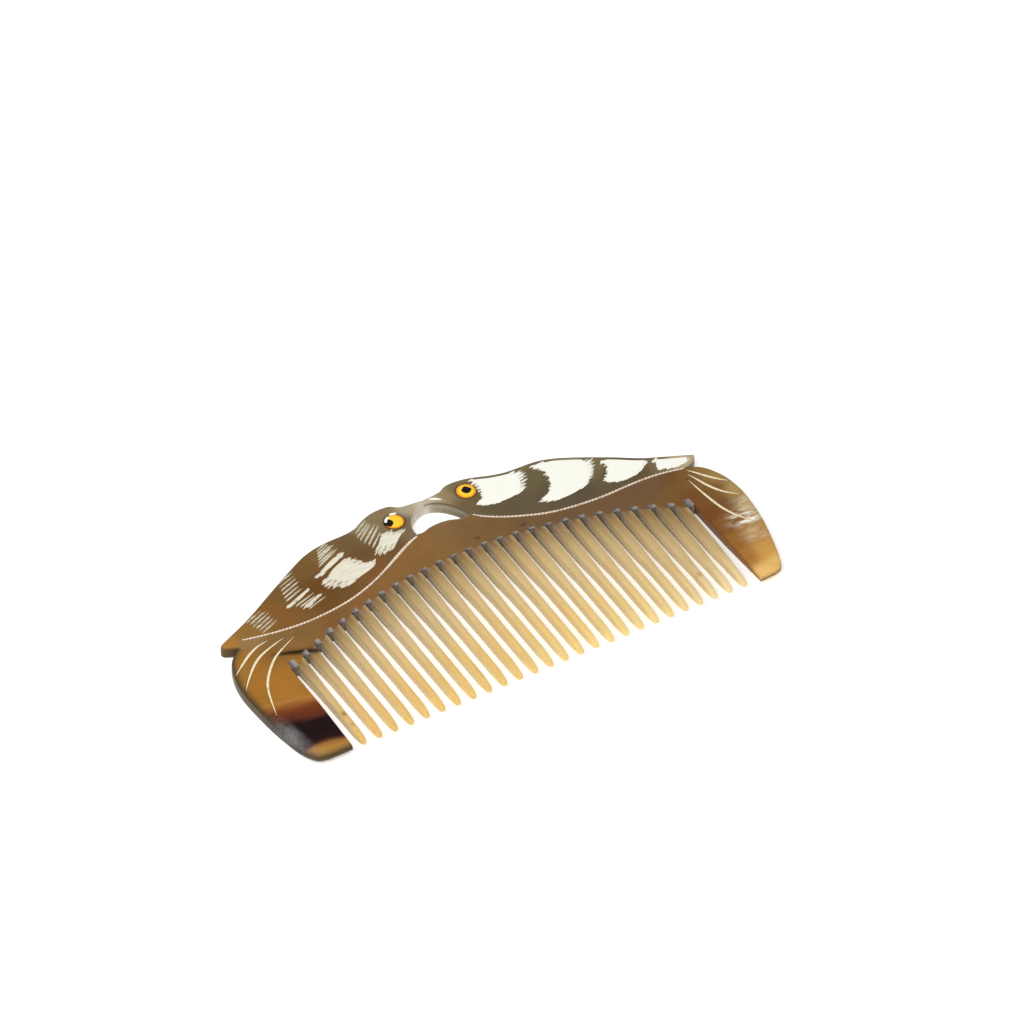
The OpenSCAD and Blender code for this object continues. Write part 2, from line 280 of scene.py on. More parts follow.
def free_edges(node):
    """A plate's outline segments that meet no other plate or tooth."""
    edges = segments(OUTLINES[node])
    others = np.concatenate([segments(loop) for name, loop in OUTLINES.items() if name != node])
    middles = edges.mean(axis=1)
    free = distance_to(middles, others) > TOUCHING
    if node == "web":
        # The ends of the sawn gaps stay square, so the sill is all that can be filed
        free &= middles[:, 1] > TOOTH_TOP.max() + SILL
    return edges[free]


def split_edges():
    """Filed outer edges, the rim of the hole, and the guards' straight sawn edges."""
    edges = np.concatenate([free_edges(node) for node in PLATES])
    # Where the beaks touch, the horn runs on and nothing is filed
    seam = np.abs(edges[:, :, 0] - box_mm("left_bird")[1][0]).max(1) < 2 * ALIGNED
    edges = edges[~seam]
    middles = edges.mean(axis=1)
    run = np.abs(edges[:, 1] - edges[:, 0])
    sawn = (run[:, 0] < ALIGNED) & (run[:, 1] > SAWN_RUN)
    hole = (middles >= HOLE_LOW).all(1) & (middles <= HOLE_HIGH).all(1)
    return edges[~sawn & ~hole], edges[hole], edges[sawn]


FILED, HOLE, SAWN = split_edges()
ROUNDED = np.concatenate([FILED, HOLE])


def sloped_faces(up):
    """Search tree of the guards' gentle slopes, where they thin towards their feet."""
    steepest, level = 0.05, 0.9999
    points, faces = [], []
    for node in PLATES:
        work = merged_copy(node)
        for face in work.faces:
            if steepest < face.normal.z * up < level:
                faces.append(range(len(points), len(points) + len(face.verts)))
                points.extend(vert.co / MM for vert in face.verts)
        work.free()
    return BVHTree.FromPolygons(points, [list(face) for face in faces])


SLOPES = {up: sloped_faces(up) for up in (1, -1)}


def slope_height(points, up):
    """Height of the plain plate's front (up = 1) or back (up = -1) at each point."""
    level = PLATE_T if up == 1 else 0.0
    heights = np.full(len(points), level)
    # Points on a slope's very edge find it a nudge to one side
    nudge, far = 0.02, 100
    nudges = [(0, 0)] + [(nudge * i, nudge * j) for j in (0, 1, -1) for i in (-1, 1)]
    for k, (x, y) in enumerate(points):
        for right, on in nudges:
            hit = SLOPES[up].ray_cast(
                Vector((x + right, y + on, up * far)), Vector((0, 0, -up)))[0]
            if hit:
                heights[k] = hit.z
                break
    return heights


# ---------------------------------------------------------------------------
# The carved surface
# ---------------------------------------------------------------------------
# The left guard lies to the left of this
GUARD_X = -56
# Where the two beaks touch, and how far from there the horn is thick again
BEAKS, BEAKS_REACH = (0.7, 30.6), 6
# Half width of a line filling, and how much wider its groove is
LINE_HALF, LINE_PLAY = 0.4, 0.08


def rounding(distance, radius):
    """How far a quarter-round edge lies under the face, by distance from the edge."""
    short = np.clip(radius - distance, 0, radius)
    return radius - np.sqrt(radius ** 2 - short ** 2)


def waves(points, scale, offset=0.0):
    """Smooth noise between about -1 and 1."""
    return np.array([noise.noise(Vector((x / scale, y / scale, offset))) for x, y in points])


def bell(distance, reach):
    """1 at no distance, falling away smoothly over the reach."""
    return np.exp(-(distance / reach) ** 2)


def past_iris(flat, low, high):
    """Distance of each point past the edge of an iris, from the corners of its box."""
    return np.linalg.norm(flat - (low + high)[:2] / 2, axis=1) - (high[0] - low[0]) / 2


def chamfer(points, width):
    """Drop of the broad chamfer on the left guard's outer corner."""
    corner_y, corner_reach, least_w, slope = -25.5, 5, 0.9, 0.5
    local_w = least_w + width * bell(points[:, 1] - corner_y, corner_reach)
    on_corner = (points[:, 0] < GUARD_X) & (points[:, 1] < 0)
    return np.where(on_corner, slope * np.maximum(local_w - distance_to(points, FILED), 0), 0)


def line_width(node, line):
    """Half width along an engraved line, at each of its points: plumes taper."""
    place = np.linspace(0, 1, len(line))
    if node in BELLY_LINES:
        return LINE_HALF * np.minimum(1, 0.5 + 6 * np.minimum(place, 1 - place))
    return LINE_HALF * np.maximum(np.sin(math.pi * place), 0) ** 0.5


def engraving(points, depth):
    """Depth of the engraved grooves at each point."""
    dip = np.zeros(len(points))
    margin = 1.0
    eye_groove, eye_share = 0.22, 0.3
    for node, lines in LINES.items():
        for line in lines:
            fine = evenly(line, 0.8)
            near = np.flatnonzero(
                (points >= fine.min(0) - margin).all(1)
                & (points <= fine.max(0) + margin).all(1))
            if not len(near):
                continue
            gap = np.linalg.norm(points[near, None] - fine, axis=2)
            half = line_width(node, fine)[gap.argmin(1)] + LINE_PLAY
            away = distance_to(points[near], path_segments(fine))
            dip[near] = np.maximum(dip[near], depth * held(1 - (away / half) ** 2))
    for low, high in EYES.values():
        groove = bell(past_iris(points, low, high), eye_groove)
        dip = np.maximum(dip, eye_share * depth * groove)
    return dip


def front_height(points, engraved=True):
    """Height of the finished front face at each point."""
    horn = bpy.context.scene.comb_horn
    wave = horn.wave / MM
    height = slope_height(points, 1) - wave * (1 + waves(points, 9.0, 3.0))
    # The thin beaks are only broken at their edges
    thick = np.clip(np.linalg.norm(points - BEAKS, axis=1) / BEAKS_REACH, 0.25, 1)
    filed = rounding(distance_to(points, FILED), thick * horn.filed_r / MM)
    filed = np.maximum(filed, chamfer(points, horn.chamfer_w / MM))
    square = np.minimum(distance_to(points, SAWN), distance_to(points, HOLE))
    height -= np.maximum(filed, rounding(square, horn.sawn_r / MM))
    if engraved:
        height -= engraving(points, horn.groove_depth / MM)
    return height


def back_height(points):
    """Height of the finished back face at each point."""
    horn = bpy.context.scene.comb_horn
    height = slope_height(points, -1)
    drop = np.maximum(rounding(distance_to(points, FILED), horn.back_r / MM),
                      rounding(distance_to(points, HOLE), horn.sawn_r / MM))
    return height + drop


# ---------------------------------------------------------------------------
# Meshes
# ---------------------------------------------------------------------------
# Rings of points inside a rounded edge, and lines of points across a groove
EDGE_RINGS = (0.1, 0.26, 0.46, 0.7, 0.95)
GROOVE_LINES = (-0.62, -0.46, -0.32, -0.16, 0, 0.16, 0.32, 0.46, 0.62)


def fine_outline(loop, step):
    """The outline with every straight piece divided evenly."""
    points = []
    for a, b in segments(loop):
        parts = max(1, round(np.linalg.norm(b - a) / step))
        points.extend(a + (b - a) * k / parts for k in range(parts))
    return np.array(points)


def honeycomb(loop, step):
    """Points inside an outline on a triangular grid."""
    low, high = loop.min(0), loop.max(0)
    rows = np.arange(low[1], high[1], step * 0.866)
    points = [(x + step * (k % 2) / 2, y) for k, y in enumerate(rows)
              for x in np.arange(low[0], high[0], step)]
    points = np.array(points)
    return points[inside(points, loop)]


def inward_of(rim):
    """Unit vectors that point into a counterclockwise outline, at each of its points."""
    run = np.roll(rim, -1, axis=0) - np.roll(rim, 1, axis=0)
    return np.stack([-run[:, 1], run[:, 0]], axis=1) / np.linalg.norm(run, axis=1)[:, None]


def beside(line, offset):
    """A line moved sideways."""
    run = np.gradient(line, axis=0)
    run /= np.linalg.norm(run, axis=1, keepdims=True)
    return line + offset * np.stack([-run[:, 1], run[:, 0]], axis=1)


def face_points(loop, step):
    """Points for a carved face: even over the open, close at edges and grooves."""
    border = segments(loop)
    grid = honeycomb(loop, step)
    grid = grid[distance_to(grid, border) > 0.5 * step]
    grooves = [evenly(line, 0.3) for lines in LINES.values() for line in lines]
    groove_lines = np.concatenate([path_segments(line) for line in grooves])
    edges = np.concatenate([ROUNDED, SAWN])
    edge_band, groove_band, cell = 1.0, 0.7, 0.12
    grid = grid[(distance_to(grid, edges) > edge_band)
                & (distance_to(grid, groove_lines) > groove_band)]
    close = [beside(line, offset) for line in grooves for offset in GROOVE_LINES]
    rim = fine_outline(loop, 0.35)
    inward = inward_of(rim)
    for away in EDGE_RINGS:
        ring = rim + inward * away
        near_edge = distance_to(ring, edges) < edge_band + 0.02
        clear = distance_to(ring, border) > 0.93 * away
        close.append(ring[near_edge & clear])
    close = np.concatenate(close)
    close = close[inside(close, loop)]
    close = close[distance_to(close, border) > 0.07]
    points = np.concatenate([grid, close])
    # One point to each small cell, so that lines that cross leave no slivers
    cells = np.unique(np.round(points / cell).astype(int), axis=0, return_index=True)[1]
    return points[np.sort(cells)]


def triangulate(rim, within):
    """Triangles over an outline and the points in it, counterclockwise from above."""
    points = [Vector(p) for p in np.concatenate([rim, within])]
    made = delaunay_2d_cdt(points, [], [list(range(len(rim)))], 1, 1e-6)
    flat = np.array([(p.x, p.y) for p in made[0]])
    faces = np.array([face for face in made[2]])
    a, b, c = (flat[faces[:, k]] for k in range(3))
    area = (b - a)[:, 0] * (c - a)[:, 1] - (b - a)[:, 1] * (c - a)[:, 0]
    faces[area < 0] = faces[area < 0][:, ::-1]
    return flat, faces[np.abs(area) > 1e-9]


def meshed(rim, step, clear):
    """Triangles over an outline, with a grid of points that keeps clear of it."""
    within = honeycomb(rim, step)
    return triangulate(rim, within[distance_to(within, segments(rim)) > clear])


def closed_shell(name, flat, faces, top, bottom, rows=1):
    """A closed mesh between a top and a bottom surface, with walls of one or more rows."""
    count = len(flat)
    edges = np.concatenate([faces[:, [0, 1]], faces[:, [1, 2]], faces[:, [2, 0]]])
    known = {tuple(edge) for edge in edges.tolist()}
    rim = [(a, b) for a, b in edges.tolist() if (b, a) not in known]
    corners = sorted({a for a, b in rim})
    level = {a: [a] for a in corners}
    points = [np.column_stack([flat, top]), np.column_stack([flat, bottom])]
    for row in range(1, rows):
        first = sum(map(len, points))
        heights = top[corners] + (bottom[corners] - top[corners]) * row / rows
        points.append(np.column_stack([flat[corners], heights]))
        for place, a in enumerate(corners):
            level[a].append(first + place)
    for a in corners:
        level[a].append(a + count)
    walls = [(level[a][row], level[a][row + 1], level[b][row + 1], level[b][row])
             for a, b in rim for row in range(rows)]
    mesh = bpy.data.meshes.new(name)
    mesh.from_pydata((np.concatenate(points) * MM).tolist(), [],
                     faces.tolist() + (faces[:, ::-1] + count).tolist() + walls)
    mesh.update()
    return mesh


def smooth_shaded(mesh, sharp_angle=38):
    mesh.shade_smooth()
    mesh.set_sharp_from_angle(angle=math.radians(sharp_angle))
    return mesh


def places(mesh):
    """The mesh's points in millimetres."""
    flat = np.empty(len(mesh.vertices) * 3, np.float32)
    mesh.vertices.foreach_get("co", flat)
    return flat.reshape(-1, 3).astype(float) / MM


def move_to(mesh, points):
    mesh.vertices.foreach_set("co", (points * MM).astype(np.float32).ravel())
    mesh.update()


def paint_points(mesh, name, values):
    """Stores one number or one colour per point of the mesh."""
    values = np.asarray(values, np.float32)
    if values.ndim == 2:
        layer = mesh.attributes.new(name, "FLOAT_COLOR", "POINT")
        layer.data.foreach_set("color", np.column_stack([values, np.ones(len(values))]).ravel())
    else:
        layer = mesh.attributes.new(name, "FLOAT", "POINT")
        layer.data.foreach_set("value", values)


def joined(name, meshes):
    """One mesh of several that share their layers."""
    work = bmesh.new()
    for mesh in meshes:
        work.from_mesh(mesh)
    whole = bpy.data.meshes.new(name)
    work.to_mesh(whole)
    work.free()
    return whole


def in_scene(name, data):
    """A new object of a mesh, light or camera, put in the scene."""
    thing = bpy.data.objects.new(name, data)
    bpy.context.scene.collection.objects.link(thing)
    return thing


def finished(name, mesh, slot, *nodes):
    """Puts a finished mesh in the scene in place of its CAD nodes."""
    piece = in_scene(name, mesh)
    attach(piece, "root")
    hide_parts(*nodes)
    return piece


# ---------------------------------------------------------------------------
# Colours of the horn, as listed dabs: x, y and display levels
# ---------------------------------------------------------------------------
PLATE_DABS = (
    (-60, 10, (150, 118, 74)), (-54, 8, (134, 102, 60)), (-46, 7, (130, 95, 52)),
    (-38, 7, (128, 90, 48)), (-30, 9, (134, 94, 50)), (-22, 11, (136, 97, 53)),
    (-14, 14, (136, 98, 54)), (-6, 18, (136, 99, 56)), (0, 21, (134, 102, 64)),
    (6, 18, (126, 94, 56)), (12, 14, (122, 91, 54)), (20, 11, (116, 88, 57)),
    (28, 9, (115, 86, 58)), (36, 9, (114, 86, 58)), (44, 9, (113, 85, 57)),
    (52, 9, (114, 87, 59)), (58, 8, (113, 83, 52)), (62, 8, (122, 92, 58)),
    (-68, 3, (164, 122, 58)), (-64, 3, (162, 116, 54)), (-58, 3, (142, 102, 50)),
    (-68, -6, (170, 120, 50)), (-62, -7, (173, 122, 52)), (-57, -6, (168, 120, 54)),
    (-62, -12, (172, 122, 54)), (62, 5, (128, 95, 58)), (66, 6, (150, 122, 78)),
    (68, 2, (166, 139, 95)), (60, -2, (120, 82, 45)), (65, -2, (128, 95, 55)),
    (70, -4, (178, 154, 114)), (60, -9, (119, 75, 37)), (64, -8, (120, 86, 50)),
    (70, -11, (188, 168, 128)), (60, -15, (130, 86, 43)), (64, -14, (142, 103, 60)),
    (60, -21, (154, 106, 51)), (66, -20, (186, 148, 98)), (60, -27, (172, 120, 60)),
    (65, -27, (208, 163, 92)), (61, -33, (242, 206, 148)), (66, -31, (234, 200, 140)),
)
BIRD_DABS = (
    (-66, 11.5, (172, 126, 64)), (-60, 13, (148, 112, 62)), (-52, 15, (134, 94, 48)),
    (-46, 21, (122, 92, 50)), (-38, 18, (110, 76, 36)), (-38, 24, (120, 92, 52)),
    (-30, 20, (110, 78, 40)), (-30, 27, (128, 102, 62)), (-22, 17, (126, 86, 46)),
    (-22, 22, (106, 80, 46)), (-22, 28, (112, 90, 54)), (-14, 20, (112, 82, 48)),
    (-18, 31, (142, 124, 90)), (-10, 33, (136, 118, 84)), (-8, 26, (120, 98, 66)),
    (-3, 31.5, (176, 164, 136)), (0, 31, (206, 196, 174)), (-6, 24, (124, 108, 84)),
    (2, 31, (186, 172, 144)), (6, 31, (152, 134, 96)), (10, 31, (122, 108, 74)),
    (9.5, 24, (112, 94, 64)), (14, 22, (100, 86, 62)), (20, 20, (98, 86, 64)),
    (28, 24, (106, 96, 66)), (30, 18, (97, 83, 62)), (26, 30, (124, 114, 80)),
    (36, 14, (95, 80, 60)), (42, 28, (140, 126, 92)), (44, 20, (122, 110, 76)),
    (46, 16, (96, 84, 61)), (52, 13, (98, 80, 56)), (58, 13, (120, 105, 75)),
    (64, 12.5, (190, 175, 140)),
)
# Stretches of horn that are warmer than their dabs: lowest and highest x, highest y,
# and the shares of their red, green and blue levels
PLATE_WARMTH = (
    (57.5, 72, 35, (0.98, 0.94, 0.8)), (-72, -56.5, 5, (0.96, 0.92, 0.8)),
)
BIRD_WARMTH = ((-72, -29, 35, (0.98, 0.95, 0.86)),)
# Rows of long strokes on the left bird: ends of the first and the last stroke,
# number of strokes, and how dry the brush was at the first and the last
FANS = (
    ((-19.2, 30.6), (-20.3, 27.5), (-15.4, 32.8), (-14.3, 31.4), 3, 0.9, 0.75),
    ((-20.2, 26.2), (-18.4, 21.0), (-13.6, 31.2), (-12.9, 26.0), 5, 0.68, 0.4),
    ((-31.2, 28.5), (-33.8, 23.4), (-26.6, 30.5), (-26.0, 26.9), 6, 0.85, 0.6),
    ((-45.4, 23.4), (-46.8, 17.0), (-39.5, 25.4), (-40.2, 19.4), 6, 0.85, 0.6),
    ((-45.4, 14.4), (-43.2, 11.9), (-38.8, 16.4), (-36.6, 13.9), 4, 0.6, 0.75),
    ((-58.8, 15.4), (-57.2, 10.4), (-52.4, 18.0), (-50.8, 12.9), 6, 0.88, 0.75),
)
# Across the left guard the horn turns from amber to black and back: height and levels
BAND_STOPS = (
    (-33.0, (178, 130, 60)), (-31.0, (174, 124, 54)), (-30.2, (150, 102, 48)),
    (-29.4, (90, 52, 30)), (-28.4, (34, 15, 14)), (-25.0, (26, 12, 12)), (-21.8, (32, 14, 12)),
    (-19.8, (92, 44, 24)), (-17.2, (112, 54, 24)), (-15.4, (146, 86, 38)), (-13.4, (174, 122, 54)),
)
# Down a tooth from its root, paling partly with a painted glow of light through the thinning horn:
# distance below the root and levels
TOOTH_STOPS = (
    (0, (128, 98, 58)), (1.5, (142, 112, 68)), (4, (162, 134, 90)), (8, (188, 162, 114)),
    (13, (208, 181, 130)), (22, (222, 192, 134)), (32, (234, 200, 130)), (43, (244, 216, 142)),
)
# Down the left wall of a tooth from its root, painted lighter for the light that falls on it
WALL_STOPS = (
    (0, (150, 134, 108)), (2, (172, 156, 122)), (6, (198, 180, 140)), (12, (214, 196, 154)),
    (24, (226, 206, 158)), (43, (244, 226, 170)),
)
# Along the wall of the pierced hole, by its distance along the comb
HOLE_STOPS = (
    (-6.5, (150, 134, 104)), (-3.5, (214, 204, 184)), (1, (226, 218, 202)), (2.6, (170, 160, 136)),
    (4.5, (146, 136, 110)), (8.5, (112, 98, 82)),
)
# Brown flaws in the teeth: number from the left, height, strength, levels, radius, stretch
TOOTH_FLAWS = (
    (0, -23.8, 0.85, (120, 66, 34), 0.75, 0.7), (0, -28, 0.5, (160, 108, 60), 0.7, 0.7),
    (len(TEETH) - 3, -26, 0.6, (176, 112, 66), 0.7, 1.0),
)
CHAR = srgb(30, 16, 10)


def stops(places_at, table):
    """Linear colours read off a table of stops."""
    table = sorted(table)
    at = [row[0] for row in table]
    return np.stack([np.interp(places_at, at, [srgb(*row[1])[k] for row in table])
                     for k in range(3)], axis=1)


def warmed(dab, stretches):
    """Linear colour of a dab, with the warmth of the stretch of horn that it lies in."""
    x, y, levels = dab
    for low, high, top, shares in stretches:
        if low < x < high and y < top:
            levels = [level * part for level, part in zip(levels, shares)]
    return srgb(*levels)


def dabbed(points, dabs, stretches):
    """Colours blended between listed dabs."""
    spots = np.array([dab[:2] for dab in dabs], float)
    tones = np.array([warmed(dab, stretches) for dab in dabs])
    pull = 1 / (np.linalg.norm(points[:, None] - spots, axis=2) ** 2 + 4) ** 2
    return pull @ tones / pull.sum(1, keepdims=True)


def mixed(a, b, amount):
    amount = held(amount)[:, None]
    return a * (1 - amount) + np.asarray(b) * amount


def dot(points, x, y, radius, stretch=1.0):
    """A soft spot, 1 at its middle, stretched along the comb."""
    return np.exp(-(((points[:, 0] - x) / stretch) ** 2 + (points[:, 1] - y) ** 2) / radius ** 2)


def plate_tone(points, node):
    """Colour of the plain horn over the plate."""
    flat = points[:, :2]
    if node.endswith("bird"):
        return dabbed(flat, BIRD_DABS, BIRD_WARMTH)
    tone = dabbed(flat, PLATE_DABS, PLATE_WARMTH)
    if node == "left_guard":
        # The bands run slightly downhill and stray a little
        level = flat[:, 1] + 0.2 * (flat[:, 0] + 62) + 0.9 * waves(flat * (0.35, 1.6), 2.2, 7)
        tone = mixed(tone, stops(level, BAND_STOPS), (-12.4 - level) / 1.6)
    return tone


def tooth_tone(points):
    """Colour of the horn below the root line, from brown to honey: partly the horn's own colour,
    partly a painted glow of light through the thin teeth.
    """
    x, y = points[:, 0], points[:, 1]
    below = np.interp(x, TOOTH_X, TOOTH_TOP) - y
    # Teeth near either end of the row pale more slowly along their length
    slower = 1 - 0.4 * held((x - 30) / 24) - 0.12 * held((-40 - x) / 12)
    pale = held((-22 - y) / 12) * held((x - 20) / 30)
    honey = held((-10 - y) / 16) * held((16 - x) / 30)
    tone = mixed(stops(below * slower, TOOTH_STOPS), srgb(252, 232, 180), 0.7 * pale)
    return mixed(tone, srgb(224, 176, 96), 0.5 * honey)


def narrowed(below, number):
    """0 along a tooth's wide root, 1 once it has narrowed to its shank."""
    teeth = bpy.context.scene.comb_teeth
    return held((below * MM - root_hold(number)) / teeth.narrowing)


def root_hold(number):
    """Length over which a tooth keeps the width of its root, in metres."""
    teeth = bpy.context.scene.comb_teeth
    return teeth.hold_first + (teeth.hold_last - teeth.hold_first) * number / (len(TEETH) - 1)


def gap_end_tone(points):
    """Colour of the square end of each sawn gap: painted shade at the left, dusty grey at the right.
    """
    x = points[:, 0]
    gap_w = 1.8
    across = (x - GAPS[np.abs(x[:, None] - GAPS).argmin(1)]) / gap_w + 0.5
    rough = 0.3 * waves(points[:, [0, 2]] * (1.6, 2.4), 0.8, 9)
    shade_to_dust = mixed(np.tile(srgb(46, 38, 32), (len(points), 1)), srgb(158, 152, 146),
                  (across + rough - 0.15) * 1.5)
    low = held(1 - points[:, 2] / PLATE_T)
    return mixed(shade_to_dust, srgb(132, 110, 78), 1.1 * low - 0.2)


def burn(flat):
    """The dark burn that runs from the second tooth's root onto the guard."""
    start, start_y, reach, fall = -59.5, 3.1, 10.8, 0.4
    right = flat[:, 0] - start
    along = right / reach
    across = flat[:, 1] - start_y + fall * right + 0.25 * waves(flat, 2.5, 6)
    wide = 0.45 + 0.75 * held(along)
    return held(along * 3) * (along < 1.1) * bell(across, wide)


# ---------------------------------------------------------------------------
# Node trees
# ---------------------------------------------------------------------------
class Nodes:
    """A node tree under construction."""

    def __init__(self, tree):
        self.tree = tree

    def add(self, kind, inputs=None, **settings):
        node = self.tree.nodes.new(kind)
        for key, value in settings.items():
            setattr(node, key, value)
        self.fill(node, inputs or {})
        return node

    def fill(self, node, inputs):
        for key, value in inputs.items():
            self.feed(node.inputs[key], value)

    def feed(self, socket, value):
        if isinstance(value, bpy.types.NodeSocket):
            self.tree.links.new(value, socket)
        else:
            socket.default_value = value

    def math(self, operation, *values, clamp=False):
        node = self.add("ShaderNodeMath", operation=operation, use_clamp=clamp)
        for socket, value in zip(node.inputs, values):
            self.feed(socket, value)
        return node.outputs[0]

    def scaled(self, value, times, plus=0.0, clamp=False):
        """value * times + plus."""
        return self.math("MULTIPLY_ADD", value, times, plus, clamp=clamp)

    def ramp(self, value, start, end):
        """0 at start, 1 at end, smooth between."""
        node = self.add("ShaderNodeMapRange", {"Value": value, "From Min": start, "From Max": end},
                        interpolation_type="SMOOTHSTEP")
        return node.outputs[0]

    def mix(self, amount, a, b, kind="MIX"):
        node = self.add("ShaderNodeMix", data_type="RGBA", blend_type=kind)
        self.feed(node.inputs["Factor"], amount)
        self.feed(node.inputs[6], a if isinstance(a, bpy.types.NodeSocket) else (*a, 1))
        self.feed(node.inputs[7], b if isinstance(b, bpy.types.NodeSocket) else (*b, 1))
        return node.outputs[2]


def new_material(name):
    material = bpy.data.materials.new(name)
    material.use_nodes = True
    nodes = Nodes(material.node_tree)
    shader = next(n for n in material.node_tree.nodes if n.type == "BSDF_PRINCIPLED")
    return material, nodes, shader


def stretched_noise(nodes, stretch, detail=4.0, roughness=0.55, turn=0.0):
    """Noise on Object coordinates, with its features per millimetre along each axis."""
    where = nodes.add("ShaderNodeTexCoord").outputs["Object"]
    size = tuple(s / MM for s in stretch)
    mapping = nodes.add("ShaderNodeMapping", {
        "Vector": where, "Scale": size, "Rotation": (0, 0, turn)})
    return nodes.add("ShaderNodeTexNoise", {
        "Vector": mapping.outputs[0], "Scale": 1.0, "Detail": detail,
        "Roughness": roughness}).outputs["Fac"]


def even_noise(nodes, grain, detail):
    """Noise with the same grain every way."""
    return stretched_noise(nodes, (grain, grain, grain), detail)


def grained(nodes, grain, times, detail, roughness=0.55):
    """Noise along the horn's grain, so many times finer than its growth lines."""
    return stretched_noise(nodes, tuple(g * times for g in grain), detail, roughness)


def embossed(nodes, shader, height, depth, strength):
    """Gives a material fine relief, its depth in millimetres."""
    bump = nodes.add("ShaderNodeBump", {
        "Height": height, "Distance": depth * MM, "Strength": strength})
    nodes.fill(shader, {"Normal": bump.outputs[0]})


def attribute(nodes, name, output="Fac"):
    return nodes.add("ShaderNodeAttribute", attribute_name=name).outputs[output]


def horn_material(name, grain, roughness):
    """Polished horn: painted tone, growth streaks, flecks, cloud, scuffs with a painted sheen, and
    fine scratches.
    """
    material, nodes, shader = new_material(name)
    streaks = grained(nodes, grain, 0.55, 4)
    fine = grained(nodes, grain, 2.2, 6, 0.65)
    scratches = grained(nodes, grain, 5, 3)
    blotch = even_noise(nodes, 0.16, 3)
    cloud, scuff_and_sheen = attribute(nodes, "cloud"), attribute(nodes, "scuff_and_sheen")
    # The noises make the painted tone lighter and darker about its mean
    light = nodes.scaled(streaks, 0.34, 0.58)
    light = nodes.scaled(fine, 0.22, light)
    light = nodes.scaled(blotch, 0.16, light)
    grey = nodes.add("ShaderNodeCombineColor", {"Red": light, "Green": light, "Blue": light})
    base = nodes.mix(1.0, attribute(nodes, "tone", "Color"), grey.outputs[0], "MULTIPLY")
    # Warm growth streaks, dark flecks, the pale cloud, and the grey of the scuffs and of the painted
    # sheen
    warm = nodes.scaled(nodes.ramp(streaks, 0.52, 0.74), 0.5)
    base = nodes.mix(warm, base, (0.92, 0.72, 0.52), "MULTIPLY")
    flecks = nodes.scaled(nodes.ramp(even_noise(nodes, 0.9, 2), 0.735, 0.80), 0.6)
    base = nodes.mix(flecks, base, srgb(66, 42, 26))
    veil = stretched_noise(nodes, (0.22, 0.75, 0.5), 3, turn=math.radians(-28))
    veil = nodes.math("MULTIPLY", nodes.ramp(veil, 0.38, 0.66), cloud, clamp=True)
    base = nodes.mix(veil, base, srgb(252, 248, 230))
    rub_and_sheen = nodes.math("MULTIPLY", nodes.ramp(fine, 0.36, 0.62), scuff_and_sheen, clamp=True)
    base = nodes.mix(rub_and_sheen, base, srgb(150, 148, 150))
    gloss = nodes.scaled(blotch, 0.16, roughness - 0.08)
    gloss = nodes.scaled(scuff_and_sheen, 0.3, gloss, clamp=True)
    relief = nodes.scaled(nodes.math("ADD", fine, scratches), 0.5)
    embossed(nodes, shader, relief, 0.06, nodes.scaled(scuff_and_sheen, 0.75, 0.25, clamp=True))
    nodes.fill(shader, {"Base Color": base, "Roughness": gloss, "IOR": 1.54,
                        "Specular IOR Level": 0.1})
    return material


def paint_material(name, white, bare, turn):
    """Brushed paint, streaked along the brush and worn to the horn where it is dry."""
    material, nodes, shader = new_material(name)
    hairs = stretched_noise(nodes, (0.35, 3.4, 1.0), 4, turn=turn)
    grit = even_noise(nodes, 2.5, 5)
    base = nodes.mix(nodes.ramp(grit, 0.3, 0.75), tuple(0.93 * c for c in white), white)
    streaky = nodes.scaled(nodes.math("SUBTRACT", hairs, 0.45), 2.6, 0.55)
    worn = nodes.math("MULTIPLY", attribute(nodes, "dry"), streaky, clamp=True)
    embossed(nodes, shader, hairs, 0.05, 0.5)
    nodes.fill(shader, {"Base Color": nodes.mix(worn, base, bare),
                        "Roughness": nodes.scaled(grit, 0.25, 0.5),
                        "Specular IOR Level": 0.3})
    return material


def filling_material(name, cream, shade):
    """Chalky line filling, mottled with a darker cream and stained in patches."""
    material, nodes, shader = new_material(name)
    grain = even_noise(nodes, 1.4, 5)
    stain = even_noise(nodes, 0.5, 3)
    base = nodes.mix(nodes.ramp(grain, 0.35, 0.7), shade, cream)
    base = nodes.mix(nodes.ramp(stain, 0.55, 0.8), base, srgb(168, 124, 92))
    embossed(nodes, shader, grain, 0.05, 0.6)
    nodes.fill(shader, {"Base Color": base, "Roughness": nodes.scaled(grain, 0.3, 0.55)})
    return material


def enamel_material(name, inner, rim, gloss, coat=0.3):
    """Glossy eye paint whose colour deepens towards the rim."""
    material, nodes, shader = new_material(name)
    swirl = even_noise(nodes, 0.8, 4)
    depth = nodes.scaled(swirl, 0.3, attribute(nodes, "rim"))
    base = nodes.mix(nodes.ramp(depth, 0.86, 1.14), inner, rim)
    embossed(nodes, shader, swirl, 0.04, 0.4)
    nodes.fill(shader, {"Base Color": base, "Roughness": nodes.scaled(swirl, 0.12, gloss),
                        "Specular IOR Level": 0.2, "Coat Weight": coat,
                        "Coat Roughness": 0.08})
    return material


def shared_material(name, make, *choices):
    """A material made once and shared by the pieces that use it."""
    return bpy.data.materials.get(name) or make(name, *choices)


# ---------------------------------------------------------------------------
# Geometry-nodes trees
# ---------------------------------------------------------------------------
SOCKETS = {float: "NodeSocketFloat", int: "NodeSocketInt", str: "NodeSocketMaterial"}


def new_tree(name, **inputs):
    """A tree with a geometry input and output and the named inputs; str means a material."""
    group = bpy.data.node_groups.new(name, "GeometryNodeTree")
    group.interface.new_socket("Geometry", in_out="INPUT", socket_type="NodeSocketGeometry")
    for label, value in inputs.items():
        socket = group.interface.new_socket(label.replace("_", " "), in_out="INPUT",
                                            socket_type=SOCKETS[type(value)])
        if not isinstance(value, str):
            socket.default_value = value
    group.interface.new_socket("Geometry", in_out="OUTPUT", socket_type="NodeSocketGeometry")
    nodes = Nodes(group)
    return nodes, nodes.add("NodeGroupInput").outputs


